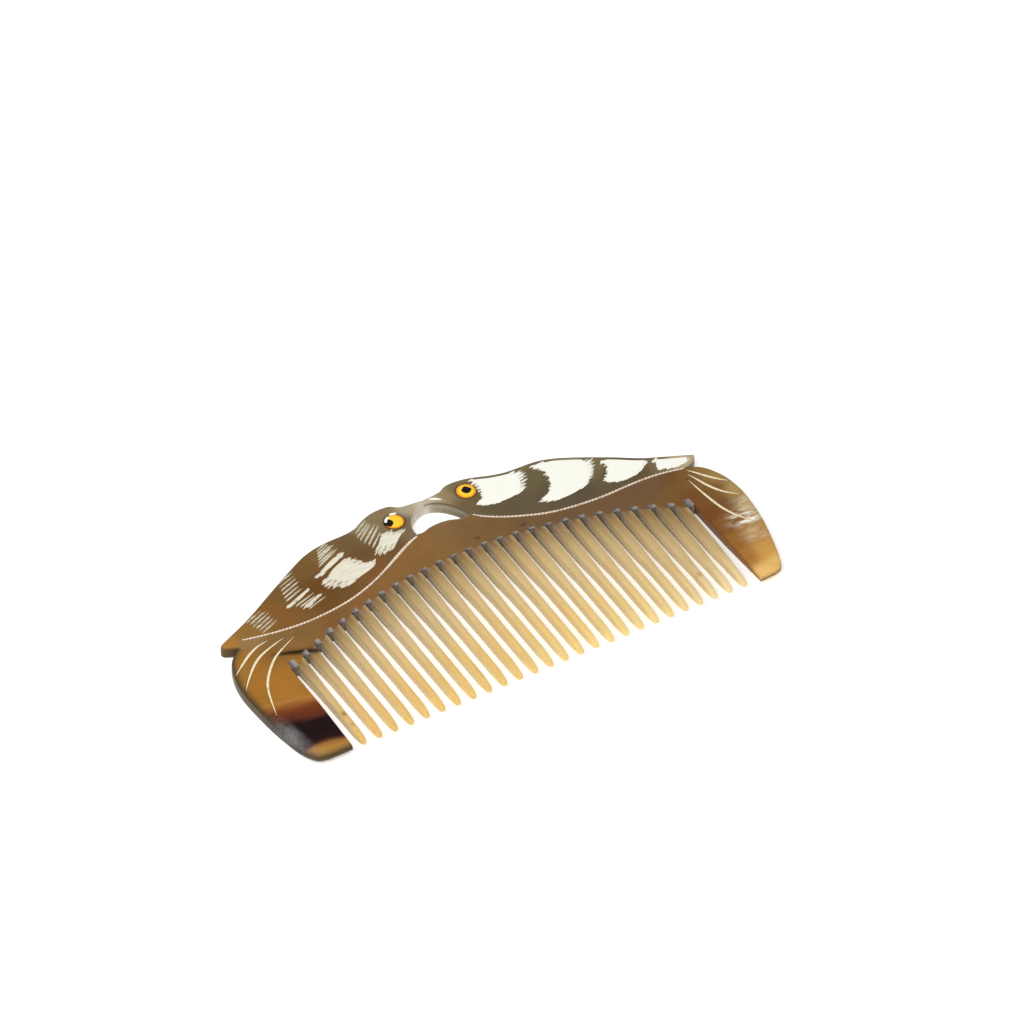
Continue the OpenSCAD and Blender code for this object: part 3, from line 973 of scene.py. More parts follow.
def close_tree(nodes, geometry, material):
    """Ends a tree with real geometry that has its material."""
    real = nodes.add("GeometryNodeRealizeInstances", {"Geometry": geometry})
    dressed = nodes.add("GeometryNodeSetMaterial", {
        "Geometry": real.outputs[0], "Material": material})
    end = nodes.add("NodeGroupOutput")
    nodes.feed(end.inputs[0], dressed.outputs[0])
    return nodes.tree


def grown(name, source, tree, **sizes):
    """The plain mesh that a tree makes from a source mesh."""
    host = in_scene(name, source)
    modifier = host.modifiers.new(name, "NODES")
    modifier.node_group = tree
    for item in tree.interface.items_tree:
        key = item.name.replace(" ", "_")
        if item.item_type == "SOCKET" and item.in_out == "INPUT" and key in sizes:
            modifier[item.identifier] = sizes[key]
    graph = bpy.context.evaluated_depsgraph_get()
    plain = bpy.data.meshes.new_from_object(
        host.evaluated_get(graph), preserve_all_data_layers=True, depsgraph=graph)
    host.modifiers.remove(modifier)
    bpy.data.objects.remove(host)
    plain.name = name
    return plain


def tooth_tree():
    """One sawn tooth: square at the root, oval below, with a rounded point."""
    nodes, given = new_tree(
        "Sawn tooth", Middle=0.0, Tip=0.0, Root=0.0, Root_width=0.0025, Width=0.002,
        Hold=0.001, Narrowing=0.011, Thickness=0.0034, Centre=0.00175, Tip_width=0.0011,
        Tip_thickness=0.0012, Taper=0.011, Shank=0.007, Shank_thickness=0.0028,
        Square_root=0.009, Wobble=0.00005, Seed=0, Horn="")
    m = nodes.math
    rod = nodes.add("GeometryNodeMeshCylinder", {
        "Vertices": 24, "Side Segments": 70, "Radius": 1.0, "Depth": 1.0})
    at = nodes.add("ShaderNodeSeparateXYZ", {
        "Vector": nodes.add("GeometryNodeInputPosition").outputs[0]}).outputs
    along = m("ADD", at[2], 0.5, clamp=True)
    whole = m("SUBTRACT", given["Root"], given["Tip"])
    up = m("MULTIPLY", whole, m("POWER", along, 1.7))

    def eased(reach):
        """0 at the point and 1 at the given height above it, quick at first."""
        left = m("SUBTRACT", 1.0, m("DIVIDE", up, reach, clamp=True))
        return m("SUBTRACT", 1.0, m("POWER", left, 2.0))

    # Width and thickness at this height
    wide = nodes.add("ShaderNodeMapRange", {
        "Value": eased(given["Taper"]), "To Min": given["Tip width"], "To Max": given["Width"]})
    thin = nodes.add("ShaderNodeMapRange", {
        "Value": eased(given["Shank"]), "To Min": given["Tip thickness"],
        "To Max": given["Shank thickness"]})
    full = nodes.add("ShaderNodeMapRange", {
        "Value": up, "From Min": given["Shank"], "From Max": m("MULTIPLY", whole, 0.86),
        "To Min": 0.0, "To Max": m("SUBTRACT", given["Thickness"], given["Shank thickness"])})
    thick = m("ADD", thin.outputs[0], full.outputs[0])
    down = m("SUBTRACT", given["Root"], m("ADD", given["Tip"], up))
    held = nodes.ramp(down, m("ADD", given["Hold"], given["Narrowing"]), given["Hold"])
    wide = m("ADD", wide.outputs[0], m("MULTIPLY", held, m(
        "SUBTRACT", given["Root width"], given["Width"])))
    # The point is rounded over half its width
    rest = m("SUBTRACT", 1.0, m("DIVIDE", up, m("MULTIPLY", given["Tip width"], 0.5), clamp=True))
    dome = m("SQRT", m("SUBTRACT", 1.0, m("MULTIPLY", rest, rest)))
    # Squareness falls away below the root
    fall = m("DIVIDE", down, given["Square root"], clamp=True)
    power = m("ADD", 0.16, m("MULTIPLY", m("MULTIPLY", fall, fall), 0.42))

    def corner(value):
        return m("MULTIPLY", m("SIGN", value), m("POWER", m("ABSOLUTE", value), power))

    sway = nodes.add("ShaderNodeTexNoise", {
        "Vector": nodes.add("ShaderNodeCombineXYZ", {"X": m("MULTIPLY", up, 130.0)}).outputs[0],
        "W": m("MULTIPLY", given["Seed"], 3.7), "Scale": 1.0, "Detail": 1.0},
        noise_dimensions="4D")
    drift = m("MULTIPLY", m("SUBTRACT", sway.outputs["Fac"], 0.5), m("MULTIPLY", given["Wobble"], 2))
    half_w = m("MULTIPLY", m("MULTIPLY", wide, dome), 0.5)
    half_t = m("MULTIPLY", m("MULTIPLY", thick, dome), 0.5)
    x = m("ADD", m("ADD", given["Middle"], drift), m("MULTIPLY", corner(at[0]), half_w))
    z = m("SUBTRACT", given["Centre"], m("MULTIPLY", corner(at[1]), half_t))
    place = nodes.add("ShaderNodeCombineXYZ", {"X": x, "Y": m("ADD", given["Tip"], up), "Z": z})
    shaped = nodes.add("GeometryNodeSetPosition", {
        "Geometry": rod.outputs["Mesh"], "Position": place.outputs[0]})
    sealed = nodes.add("GeometryNodeMergeByDistance", {
        "Geometry": shaped.outputs[0], "Distance": 0.000002})
    smooth = nodes.add("GeometryNodeSetShadeSmooth", {"Geometry": sealed.outputs[0]})
    return close_tree(nodes, smooth.outputs[0], given["Horn"])


def line_tree():
    """A line filling along a path: a twisted rope, or a plain line that tapers."""
    nodes, given = new_tree(
        "Line filling", Width=0.0007, Pitch=0.0, Flat=0.62, Taper=0.5, Step=0.00014, Filling="")
    m = nodes.math
    path = nodes.add("GeometryNodeMeshToCurve", {"Mesh": given["Geometry"]})
    even = nodes.add("GeometryNodeResampleCurve", {
        "Curve": path.outputs[0], "Length": given["Step"]}, mode="LENGTH")
    place = nodes.add("GeometryNodeSplineParameter").outputs
    bulge = m("POWER", m("SINE", m("MULTIPLY", place["Factor"], math.pi)), given["Taper"])
    fat = m("MULTIPLY", m("MAXIMUM", bulge, 0.12), m("MULTIPLY", given["Width"], 0.5))
    twist = m("MULTIPLY", m("DIVIDE", place["Length"], given["Pitch"]), 2 * math.pi)
    turned = nodes.add("GeometryNodeSetCurveTilt", {"Curve": even.outputs[0], "Tilt": twist})
    ring = nodes.add("GeometryNodeCurvePrimitiveCircle", {"Resolution": 10, "Radius": 1.0})
    squash = nodes.add("ShaderNodeCombineXYZ", {"X": 1.0, "Y": given["Flat"], "Z": 1.0})
    oval = nodes.add("GeometryNodeTransform", {
        "Geometry": ring.outputs[0], "Scale": squash.outputs[0]})
    tube = nodes.add("GeometryNodeCurveToMesh", {
        "Curve": turned.outputs[0], "Profile Curve": oval.outputs[0], "Scale": fat,
        "Fill Caps": True})
    smooth = nodes.add("GeometryNodeSetShadeSmooth", {"Geometry": tube.outputs[0]})
    return close_tree(nodes, smooth.outputs[0], given["Filling"])


def stroke_tree():
    """Brush strokes on points that carry a reach, a turn and a dryness."""
    nodes, given = new_tree(
        "Brush strokes", Width=0.00034, Thickness=0.00009, Spread=0.25, Fan=0.12, Seed=0,
        Paint="")
    m = nodes.math

    def carried(name):
        return nodes.add("GeometryNodeInputNamedAttribute", {"Name": name},
                         data_type="FLOAT").outputs[0]

    def chance(low, high, salt):
        return nodes.add("FunctionNodeRandomValue", {
            2: low, 3: high, "Seed": m("ADD", given["Seed"], salt)},
            data_type="FLOAT").outputs[1]

    rod = nodes.add("GeometryNodeMeshCylinder", {
        "Vertices": 6, "Side Segments": 7, "Radius": 1.0, "Depth": 1.0})
    at = nodes.add("ShaderNodeSeparateXYZ", {
        "Vector": nodes.add("GeometryNodeInputPosition").outputs[0]}).outputs
    along = m("ADD", at[2], 0.5, clamp=True)
    belly = m("POWER", m("MAXIMUM", m("SINE", m(
        "MULTIPLY", m("POWER", along, 0.75), math.pi)), 0.002), 0.6)
    blade_at = nodes.add("ShaderNodeCombineXYZ", {
        "X": along, "Y": m("MULTIPLY", m("MULTIPLY", at[0], belly), 0.5),
        "Z": m("MULTIPLY", m("MULTIPLY", at[1], belly), 0.5)})
    blade = nodes.add("GeometryNodeSetPosition", {
        "Geometry": rod.outputs["Mesh"], "Position": blade_at.outputs[0]})
    seeds = nodes.add("GeometryNodeMeshToPoints", {"Mesh": given["Geometry"]})
    lean = m("ADD", carried("turn"), chance(m("MULTIPLY", given["Fan"], -1.0), given["Fan"], 1))
    turn = nodes.add("ShaderNodeCombineXYZ", {"Z": lean})
    stretch = chance(m("SUBTRACT", 1.0, given["Spread"]), m("ADD", 1.0, given["Spread"]), 2)
    size = nodes.add("ShaderNodeCombineXYZ", {
        "X": m("MULTIPLY", carried("reach"), stretch),
        "Y": m("MULTIPLY", given["Width"], chance(0.7, 1.3, 3)), "Z": given["Thickness"]})
    laid = nodes.add("GeometryNodeInstanceOnPoints", {
        "Points": seeds.outputs[0], "Instance": blade.outputs[0],
        "Rotation": turn.outputs[0], "Scale": size.outputs[0]})
    smooth = nodes.add("GeometryNodeSetShadeSmooth", {"Geometry": laid.outputs[0]})
    return close_tree(nodes, smooth.outputs[0], given["Paint"])


def lay_on_front(mesh, lift, flatten=1.0):
    """Lays a mesh made about z = 0 on the front face."""
    points = places(mesh)
    points[:, 2] = points[:, 2] * flatten + front_height(points[:, :2], engraved=False) + lift
    move_to(mesh, points)
    return mesh


# ---------------------------------------------------------------------------
# Operators
# ---------------------------------------------------------------------------
class CarvePlates(bpy.types.Operator):
    """Carves the web, the two birds and the two guards from the horn plate"""
    bl_idname = "comb.carve_plates"
    bl_label = "Carve the plate"

    def execute(self, context):
        horn = context.scene.comb_horn
        material = shared_material("polished horn", horn_material, (0.35, 1.7, 1.7), horn.polish)
        rim_step, least_t = 0.4, 0.05
        for node in PLATES:
            rim = fine_outline(OUTLINES[node], rim_step)
            flat, faces = triangulate(rim, face_points(OUTLINES[node], horn.mesh_step / MM))
            bottom = back_height(flat)
            top = np.maximum(front_height(flat), bottom + least_t)
            shell = closed_shell("carved_" + node, flat, faces, top, bottom, rows=5)
            mesh = smooth_shaded(shell)
            mesh.materials.append(material)
            self.tint(mesh, node)
            finished("carved_" + node, mesh, "horn", node)
        return {"FINISHED"}

    def tint(self, mesh, node):
        """Paints tone with painted shade, light and sheen, cloud and scuffs on a carved piece."""
        points = places(mesh)
        flat = points[:, :2]
        tone = plate_tone(points, node)
        cloud, scuff_and_sheen = np.zeros(len(points)), np.zeros(len(points))
        edge = distance_to(flat, FILED)
        if node in ("web", "left_guard"):
            tone = mixed(tone, CHAR, burn(flat))
        if node == "web":
            below = np.interp(flat[:, 0], TOOTH_X, TOOTH_TOP) - flat[:, 1]
            # The square ends of the gaps: painted shade at the left, dusty grey at the right, and
            # scuffs
            ends = (below > -0.3) & (np.abs(flat[:, :1] - GAPS).min(1) < 0.97)
            tone = mixed(tone, gap_end_tone(points), np.where(ends, 0.9, 0))
            scuff_and_sheen = np.where(ends, 0.5, 0)
            # Two dark pores
            for x, y in ((17.9, 11), (5.8, 12.6)):
                tone = mixed(tone, srgb(70, 36, 30), 0.8 * dot(flat, x, y, 0.42, 1.5))
        if node == "left_guard":
            # A painted bluish sheen along the black corner, which also greys and roughens the horn
            # there
            sheen = held(1.25 - edge / 3.4) * dot(flat, -67.6, -24.4, 5.4)
            sheen *= 1 + 0.5 * waves(flat, 1.1, 3)
            tone = mixed(tone, srgb(122, 114, 116), 0.9 * sheen)
            scuff_and_sheen = 0.35 * sheen
        if node == "right_guard":
            # Strength, place, radius and stretch of each pale cloud
            for strength, *spot in ((1.9, 66.4, -14.4, 2.1, 1.5), (0.35, 68.6, -9.0, 1.8, 1.3),
                                    (0.3, 65.5, -21, 2.4, 1.2)):
                cloud += strength * dot(flat, *spot)
        tone = self.shaded_rim(tone, points, edge, node)
        for layer, values in (("tone", tone), ("cloud", cloud), ("scuff_and_sheen", scuff_and_sheen)):
            paint_points(mesh, layer, held(values))

    def shaded_rim(self, tone, points, edge, node):
        """Paints shade on the filed rim, its wall and the eyes' surrounds, and paints the wall of
        the hole lighter, with a painted highlight streak.
        """
        flat, height = points[:, :2], points[:, 2]
        wall = (edge < 0.05) & (height < PLATE_T - 0.5)
        # Reach, strength and colour of the shade along the rim
        reach, depth, dark = {
            "left_guard": (1.15, 0.95, srgb(62, 58, 42)),
            "right_guard": (0.4, 0.35, srgb(120, 84, 50)),
        }.get(node, (0.3, 0.7, srgb(74, 64, 44)))
        # The shade fades out before the right tail's end, and at the comb's right end
        pale_x = 66.5 if node == "right_bird" else 69.5
        near = depth * bell(edge, reach) * held((pale_x - flat[:, 0]) / 3)
        tone = mixed(tone, dark, np.where(wall, 0.85, near))
        rim = distance_to(flat, HOLE)
        if node == "web":
            tone = mixed(tone, srgb(150, 130, 98), 0.6 * bell(rim, 0.5))
        else:
            # A painted highlight streak runs along the right part of the hole's wall, whose top edge
            # there is painted darker
            hole_highlight = bell(height - 2.3, 0.5) * (flat[:, 0] > 2)
            lit = mixed(stops(flat[:, 0], HOLE_STOPS), srgb(196, 188, 170), 0.45 * hole_highlight)
            brow = (height > PLATE_T - 0.5) * (flat[:, 0] > 0)
            lit = mixed(lit, srgb(92, 82, 64), 0.7 * brow)
            tone = mixed(tone, lit, bell(rim, 0.2))
        # Painted shade in and beside the engraved groove round each eye
        for low, high in EYES.values():
            ring = bell(past_iris(flat, low, high) - 0.1, 0.28)
            tone = mixed(tone, srgb(48, 34, 20), 0.85 * ring)
        return tone


class SawTeeth(bpy.types.Operator):
    """Saws the teeth between the guards"""
    bl_idname = "comb.saw_teeth"
    bl_label = "Saw the teeth"

    def execute(self, context):
        horn, teeth = context.scene.comb_horn, context.scene.comb_teeth
        material = shared_material("tooth horn", horn_material, (1.9, 0.22, 1.9), horn.polish)
        tree = tooth_tree()
        # A tooth runs on into the web, is a little wider than its CAD node at the root,
        # and lies just under the plate's two faces
        buried, wider, thinner = 0.3, 0.2, 0.12
        for number, (node, (low, high)) in enumerate(zip(TEETH, TOOTH_BOXES)):
            mesh = grown(
                "horn_" + node, bpy.data.meshes.new("blank"), tree,
                Middle=TOOTH_X[number] * MM, Tip=low[1] * MM, Root=(high[1] + buried) * MM,
                Root_width=(high[0] - low[0] + wider) * MM, Width=teeth.shank_w,
                Hold=root_hold(number), Narrowing=teeth.narrowing,
                Thickness=(PLATE_T - thinner) * MM, Centre=PLATE_T / 2 * MM,
                Tip_width=teeth.tip_w, Tip_thickness=teeth.tip_t, Taper=teeth.taper_l,
                Shank=teeth.shank_l, Shank_thickness=teeth.shank_t,
                Square_root=teeth.root_l, Wobble=teeth.wobble, Seed=SEED + number, Horn=material)
            mesh.set_sharp_from_angle(angle=math.radians(60))
            self.tint(mesh, number)
            finished("horn_" + node, mesh, "horn", node)
        return {"FINISHED"}

    def tint(self, mesh, number):
        """Paints a tooth from brown at the root to honey at the point, partly as a painted glow,
        with painted light, shade and a highlight.
        """
        points = places(mesh)
        height = points[:, 2] / PLATE_T
        below = TOOTH_TOP[number] - points[:, 1]
        shank = narrowed(below, number)
        # About -1 at the left wall and 1 at the right
        side = (points[:, 0] - TOOTH_X[number]) / (1.25 - 0.23 * shank)
        root = dabbed(points[:, :2], PLATE_DABS, PLATE_WARMTH)
        tone = mixed(tooth_tone(points), root, 1 - below / 3)
        # The left wall is painted lighter for the light that falls on it, and painted with shade low
        # down near the root
        wall = held((-0.8 - side) * 8) * held((0.93 - height) * 8)
        tone = mixed(tone, stops(below * (1 - 0.012 * number), WALL_STOPS), wall)
        deep = held((0.36 - height) * 5) * held(1 - below / (7 + 0.4 * number))
        tone = mixed(tone, srgb(74, 58, 40), 0.8 * deep * held(-side * 2))
        # The right edge carries a painted highlight beside the wide root, and is brown beside the
        # shank
        edge = held((side - 0.84) * 12) * held(below * 2)
        tone = mixed(tone, srgb(238, 218, 168), 0.75 * edge * (1 - shank))
        tone = mixed(tone, srgb(156, 118, 66), 0.5 * edge * shank)
        # Each tooth is a little warmer or cooler than the next
        tint = 1 + 0.05 * noise.noise(Vector((number * 1.7, 0, 4)))
        tone = tone * np.array([tint, 1, 2 - tint])
        for at, y, strength, levels, radius, stretch in TOOTH_FLAWS:
            if at == number:
                spot = dot(points, TOOTH_X[number], y, radius, stretch)
                tone = mixed(tone, srgb(*levels), strength * spot)
        if number == 1:
            tone = mixed(tone, CHAR, burn(points[:, :2]))
        paint_points(mesh, "tone", held(tone))
        paint_points(mesh, "cloud", np.zeros(len(points)))
        paint_points(mesh, "scuff_and_sheen", 0.5 * bell(below - 1.0, 1.4) * held(-side))


class FillLines(bpy.types.Operator):
    """Fills the belly lines with rope and the plume lines with plain tapering lines"""
    bl_idname = "comb.fill_lines"
    bl_label = "Fill the lines"

    def execute(self, context):
        paint = context.scene.comb_paint
        rope = shared_material("rope cream", filling_material, tuple(paint.cream),
                               srgb(222, 198, 176))
        plume = shared_material("plume cream", filling_material, srgb(246, 232, 196),
                                srgb(230, 210, 168))
        tree = line_tree()
        for node in BELLY_LINES:
            self.fill(node, tree, node.replace("line", "rope"), lift=-0.2, flatten=1.0,
                      Width=paint.rope_w, Pitch=paint.rope_pitch, Flat=0.6, Taper=0.1,
                      Filling=rope)
        untwisted = 1000.0
        for node in PLUME_LINES:
            self.fill(node, tree, node.replace("lines", "inlay"), lift=-0.02, flatten=0.3,
                      Width=paint.plume_w, Pitch=untwisted, Flat=1.0, Taper=0.7,
                      Filling=plume)
        return {"FINISHED"}

    def fill(self, node, tree, name, lift, flatten, **sizes):
        """Lays the filling of a node's lines, grown by the tree, on the front."""
        path = bpy.data.meshes.new("path")
        points, edges = [], []
        for line in LINES[node]:
            first = len(points)
            points.extend((x * MM, y * MM, 0) for x, y in evenly(line, 0.6))
            edges.extend((k, k + 1) for k in range(first, len(points) - 1))
        path.from_pydata(points, edges, [])
        mesh = grown(name, path, tree, **sizes)
        if node == "left_belly_line":
            self.broaden(mesh, LINES[node][0])
        lay_on_front(mesh, lift, flatten)
        finished(name, mesh, "line_filling", node)

    def broaden(self, mesh, line):
        """Widens the rope towards the hole, where the groove was cut deeper."""
        points = places(mesh)
        middle = np.array(evenly(line, 0.2))
        nearest = middle[np.linalg.norm(points[:, None, :2] - middle, axis=2).argmin(1)]
        start_x, run, most = -20, 5, 0.75
        wider = 1 + most * held((points[:, :1] - start_x) / run)
        points[:, :2] = nearest + (points[:, :2] - nearest) * wider
        move_to(mesh, points)


def heading(degrees):
    """Unit vector that points the given way, counterclockwise from the comb's right."""
    return np.array([math.cos(math.radians(degrees)), math.sin(math.radians(degrees))])


class PaintFeathers(bpy.types.Operator):
    """Paints the feather patches and strokes of both birds"""
    bl_idname = "comb.paint_feathers"
    bl_label = "Paint the feathers"

    def execute(self, context):
        paint = context.scene.comb_paint
        self.paint = paint
        self.tree = stroke_tree()
        white = tuple(paint.white)
        self.right = shared_material("solid feather white", paint_material, white,
                                     srgb(120, 110, 84), 0.0)
        grey = tuple(c * dull for c, dull in zip(white, (0.9, 0.87, 0.78)))
        self.left = shared_material("dry feather white", paint_material, grey,
                                    srgb(122, 102, 74), math.radians(-20))
        self.paint_right()
        self.paint_left()
        gap = self.patch("beak gap", outlines_below("beak_gap_paint")[0], 0.0)
        gap.materials.append(self.right)
        finished("beak_gap_white", gap, "feather_paint", "beak_gap_paint")
        return {"FINISHED"}

    def patch(self, name, loop, dryness, shrink=0.0):
        """A thin closed coat of paint over an outline."""
        coat, sunk = self.paint.coat_t / MM, 0.08
        rim = fine_outline(loop, 0.3)
        # A margin of horn stays bare along the comb's filed edge
        bare = np.clip(1.25 - distance_to(rim, FILED), 0, 0.9)[:, None] if shrink else 0
        rim = rim + (shrink + bare) * inward_of(rim)
        flat, faces = meshed(rim, 0.4, 0.15)
        ground = front_height(flat, engraved=False)
        inner = held(distance_to(flat, segments(rim)) / 0.3)
        top = ground + coat * (0.4 + 0.6 * np.sqrt(inner))
        mesh = closed_shell(name, flat, faces, top, ground - sunk)
        smooth_shaded(mesh, sharp_angle=60)
        paint_points(mesh, "dry", np.full(len(mesh.vertices), dryness))
        return mesh

    def finger(self, mesh, aim, reach):
        """Parts a coat into fingers, with horn between them, where the brush left it."""
        bin_w, finger_pitch, fade = 0.5, 1.25, 0.7
        flat = places(mesh)[:, :2]
        way = heading(aim)
        along, across = flat @ way, flat @ (-way[1], way[0])
        bins = np.round(across / bin_w).astype(int)
        ends = {k: along[bins == k].max() for k in np.unique(bins)}
        inward = np.array([ends[k] for k in bins]) - along
        gap = held(1.6 * np.cos(2 * math.pi * across / finger_pitch))
        dry = np.zeros(len(flat), np.float32)
        mesh.attributes["dry"].data.foreach_get("value", dry)
        dry = np.maximum(dry, gap * held((reach - inward) / fade))
        mesh.attributes["dry"].data.foreach_set("value", dry.astype(np.float32))

    def strokes(self, name, seeds, material, width, spread=0.4, lean=0.06):
        """Brush strokes on seeds of x, y, reach, turn in degrees and dryness."""
        stroke_t, sunk = 0.1, 0.015
        seeds = np.array(seeds, float)
        source = bpy.data.meshes.new("seeds")
        source.from_pydata([(x * MM, y * MM, 0) for x, y in seeds[:, :2]], [], [])
        paint_points(source, "reach", seeds[:, 2] * MM)
        paint_points(source, "turn", np.radians(seeds[:, 3]))
        paint_points(source, "dry", seeds[:, 4])
        mesh = grown(name, source, self.tree, Width=width, Thickness=stroke_t * MM,
                     Spread=spread, Fan=lean, Seed=self.paint.seed, Paint=material)
        return lay_on_front(mesh, -sunk)

    def ragged(self, loop, aim, reach, spacing, dryness, inset):
        """Seeds for strokes that leave an outline where it faces the aim, in degrees."""
        least_facing, edge_margin = 0.25, 1.1
        rim = fine_outline(loop, spacing)
        way = heading(aim)
        facing = -inward_of(rim) @ way
        clear = distance_to(rim + way * reach / 2, FILED) > edge_margin
        return [(*(p - way * inset), reach * (0.55 + 0.45 * f) + inset, aim, dryness)
                for p, f, free in zip(rim, facing, clear) if f > least_facing and free]

    def paint_right(self):
        seeds, coats = [], []
        for loop in outlines_below("right_feather_paint"):
            coats.append(self.patch("coat", loop, dryness=0.03, shrink=0.12))
            for aim, reach in ((8, 1.7), (186, 0.7)):
                seeds += self.ragged(loop, aim, reach, spacing=0.42, dryness=0.08, inset=0.9)
        coats.append(self.strokes("hairs", seeds, self.right, self.paint.hair_w))
        mesh = joined("right_feather_strokes", coats)
        mesh.materials.append(self.right)
        finished("right_feather_strokes", mesh, "feather_paint", "right_feather_paint")

    def paint_left(self):
        seeds, coats = [], []
        for loop in outlines_below("left_feather_paint"):
            # Outlines of few points are single strokes, laid with the rows
            if len(loop) > 6:
                on_head = np.mean(loop, axis=0)[0] > -20
                aim = 218 if on_head else 204
                coats.append(self.patch("coat", loop, dryness=0.22, shrink=0.12))
                for turn, deep, reach, spacing, inset in (
                        (aim, 2.6, 1.3, 0.42, 1.0), (aim - 180, 1.2, 0.7, 0.36, 0.8)):
                    self.finger(coats[-1], turn, deep)
                    seeds += self.ragged(loop, turn, reach, spacing, 0.3, inset)
        coats.append(self.strokes("fingers", seeds, self.left, self.paint.finger_w,
                                  spread=0.35, lean=0.03))
        rows = [seed for fan in FANS for seed in self.fan(*fan)]
        coats.append(self.strokes("rows", rows, self.left, self.paint.row_w,
                                  spread=0.1, lean=0.02))
        mesh = joined("left_feather_strokes", coats)
        mesh.materials.append(self.left)
        finished("left_feather_strokes", mesh, "feather_paint", "left_feather_paint")

    def fan(self, start_a, start_b, end_a, end_b, count, dry_a, dry_b):
        """Seeds for a row of long strokes, from the first's two ends to the last's."""
        # Each stroke is two hairs, the second to one side and a little further on
        hairs = ((-0.12, 0.0), (0.1, 0.06))
        seeds = []
        for k in range(count):
            part = k / (count - 1)
            start = np.array(start_a) * (1 - part) + np.array(start_b) * part
            end = np.array(end_a) * (1 - part) + np.array(end_b) * part
            run = end - start
            reach = np.linalg.norm(run)
            turn = math.degrees(math.atan2(run[1], run[0]))
            side = np.array([-run[1], run[0]]) / reach
            dryness = dry_a * (1 - part) + dry_b * part
            seeds += [(*(start + side * off + run * slip), reach, turn, dryness)
                      for off, slip in hairs]
        return seeds


class PaintEyes(bpy.types.Operator):
    """Paints the irises, the pupils and the glint"""
    bl_idname = "comb.paint_eyes"
    bl_label = "Paint the eyes"

    def execute(self, context):
        paint = context.scene.comb_paint
        yellow, orange = tuple(paint.yellow), tuple(paint.orange)
        black, white = tuple(paint.black), tuple(paint.white)
        iris = shared_material("iris yellow", enamel_material, yellow, orange, 0.25)
        pupil = shared_material("pupil black", enamel_material, black, srgb(24, 16, 12), 0.25, 0.05)
        glint = shared_material("glint white", enamel_material, white, srgb(226, 222, 208), 0.3)
        for side in ("left", "right"):
            self.disc(side + "_iris", side + "_iris_ring", iris, "iris_paint",
                      dome=0.09, lift=0.05, wobble=0.0)
            self.disc(side + "_pupil", side + "_pupil_spot", pupil, "pupil_paint",
                      dome=0.05, lift=0.12, wobble=0.1)
        self.glint(glint)
        return {"FINISHED"}

    def disc(self, node, name, material, slot, dome, lift, wobble):
        """A domed spot of paint over the place of a CAD disc."""
        sunk, buried = 0.15, 0.04
        low, high = box_mm(node)
        middle = (low + high)[:2] / 2
        radius = (high[0] - low[0]) / 2
        rings, spokes = 14, 48
        flat = [(0.0, 0.0)]
        for ring in range(1, rings + 1):
            for spoke in range(spokes):
                angle = 2 * math.pi * spoke / spokes
                reach = ring / rings * (1 + wobble * math.cos(4 * angle + 0.6))
                flat.append((reach * math.cos(angle), reach * math.sin(angle)))
        flat = np.array(flat)
        away = np.minimum(np.linalg.norm(flat, axis=1), 1)
        points = middle + flat * radius
        faces = [(0, 1 + k, 1 + (k + 1) % spokes) for k in range(spokes)]
        for ring in range(rings - 1):
            start = 1 + ring * spokes
            for k in range(spokes):
                a, b = start + k, start + (k + 1) % spokes
                faces += [(a, a + spokes, b + spokes), (a, b + spokes, b)]
        ground = front_height(points, engraved=False)
        top = ground + lift - buried + dome * np.sqrt(held(1 - away ** 2)) ** 1.2
        mesh = closed_shell(name, points, np.array(faces), top, ground - sunk)
        smooth_shaded(mesh, sharp_angle=60)
        mesh.materials.append(material)
        paint_points(mesh, "rim", np.concatenate([away, away]))
        finished(name, mesh, slot, node)

    def glint(self, material):
        """The white glint over the left iris: a crescent, and a dash above it."""
        dash_at = (-8.0, 30.6)
        turn = np.linspace(0, 2 * math.pi, 24, endpoint=False)
        across, up = np.cos(turn), np.sin(turn)
        # A slightly tilted oval
        dash = dash_at + np.stack([0.95 * across + 0.12 * up, 0.36 * up - 0.23 * across], axis=1)
        coats = [self.white_coat(loop) for loop in (outlines_below("left_eye_glint")[0], dash)]
        mesh = joined("left_glint", coats)
        mesh.materials.append(material)
        finished("left_glint", mesh, "feather_paint", "left_eye_glint")

    def white_coat(self, loop):
        """A small raised coat of white over an outline."""
        raised, dome, slope_w = 0.1, 0.09, 0.3
        rim = fine_outline(loop, 0.12)
        flat, faces = meshed(rim, 0.12, 0.06)
        ground = front_height(flat, engraved=False)
        inner = held(distance_to(flat, segments(rim)) / slope_w)
        top = ground + raised + dome * np.sqrt(inner)
        mesh = closed_shell("white coat", flat, faces, top, ground - raised)
        smooth_shaded(mesh, sharp_angle=60)
        paint_points(mesh, "rim", np.tile(1 - inner, 2))
        return mesh


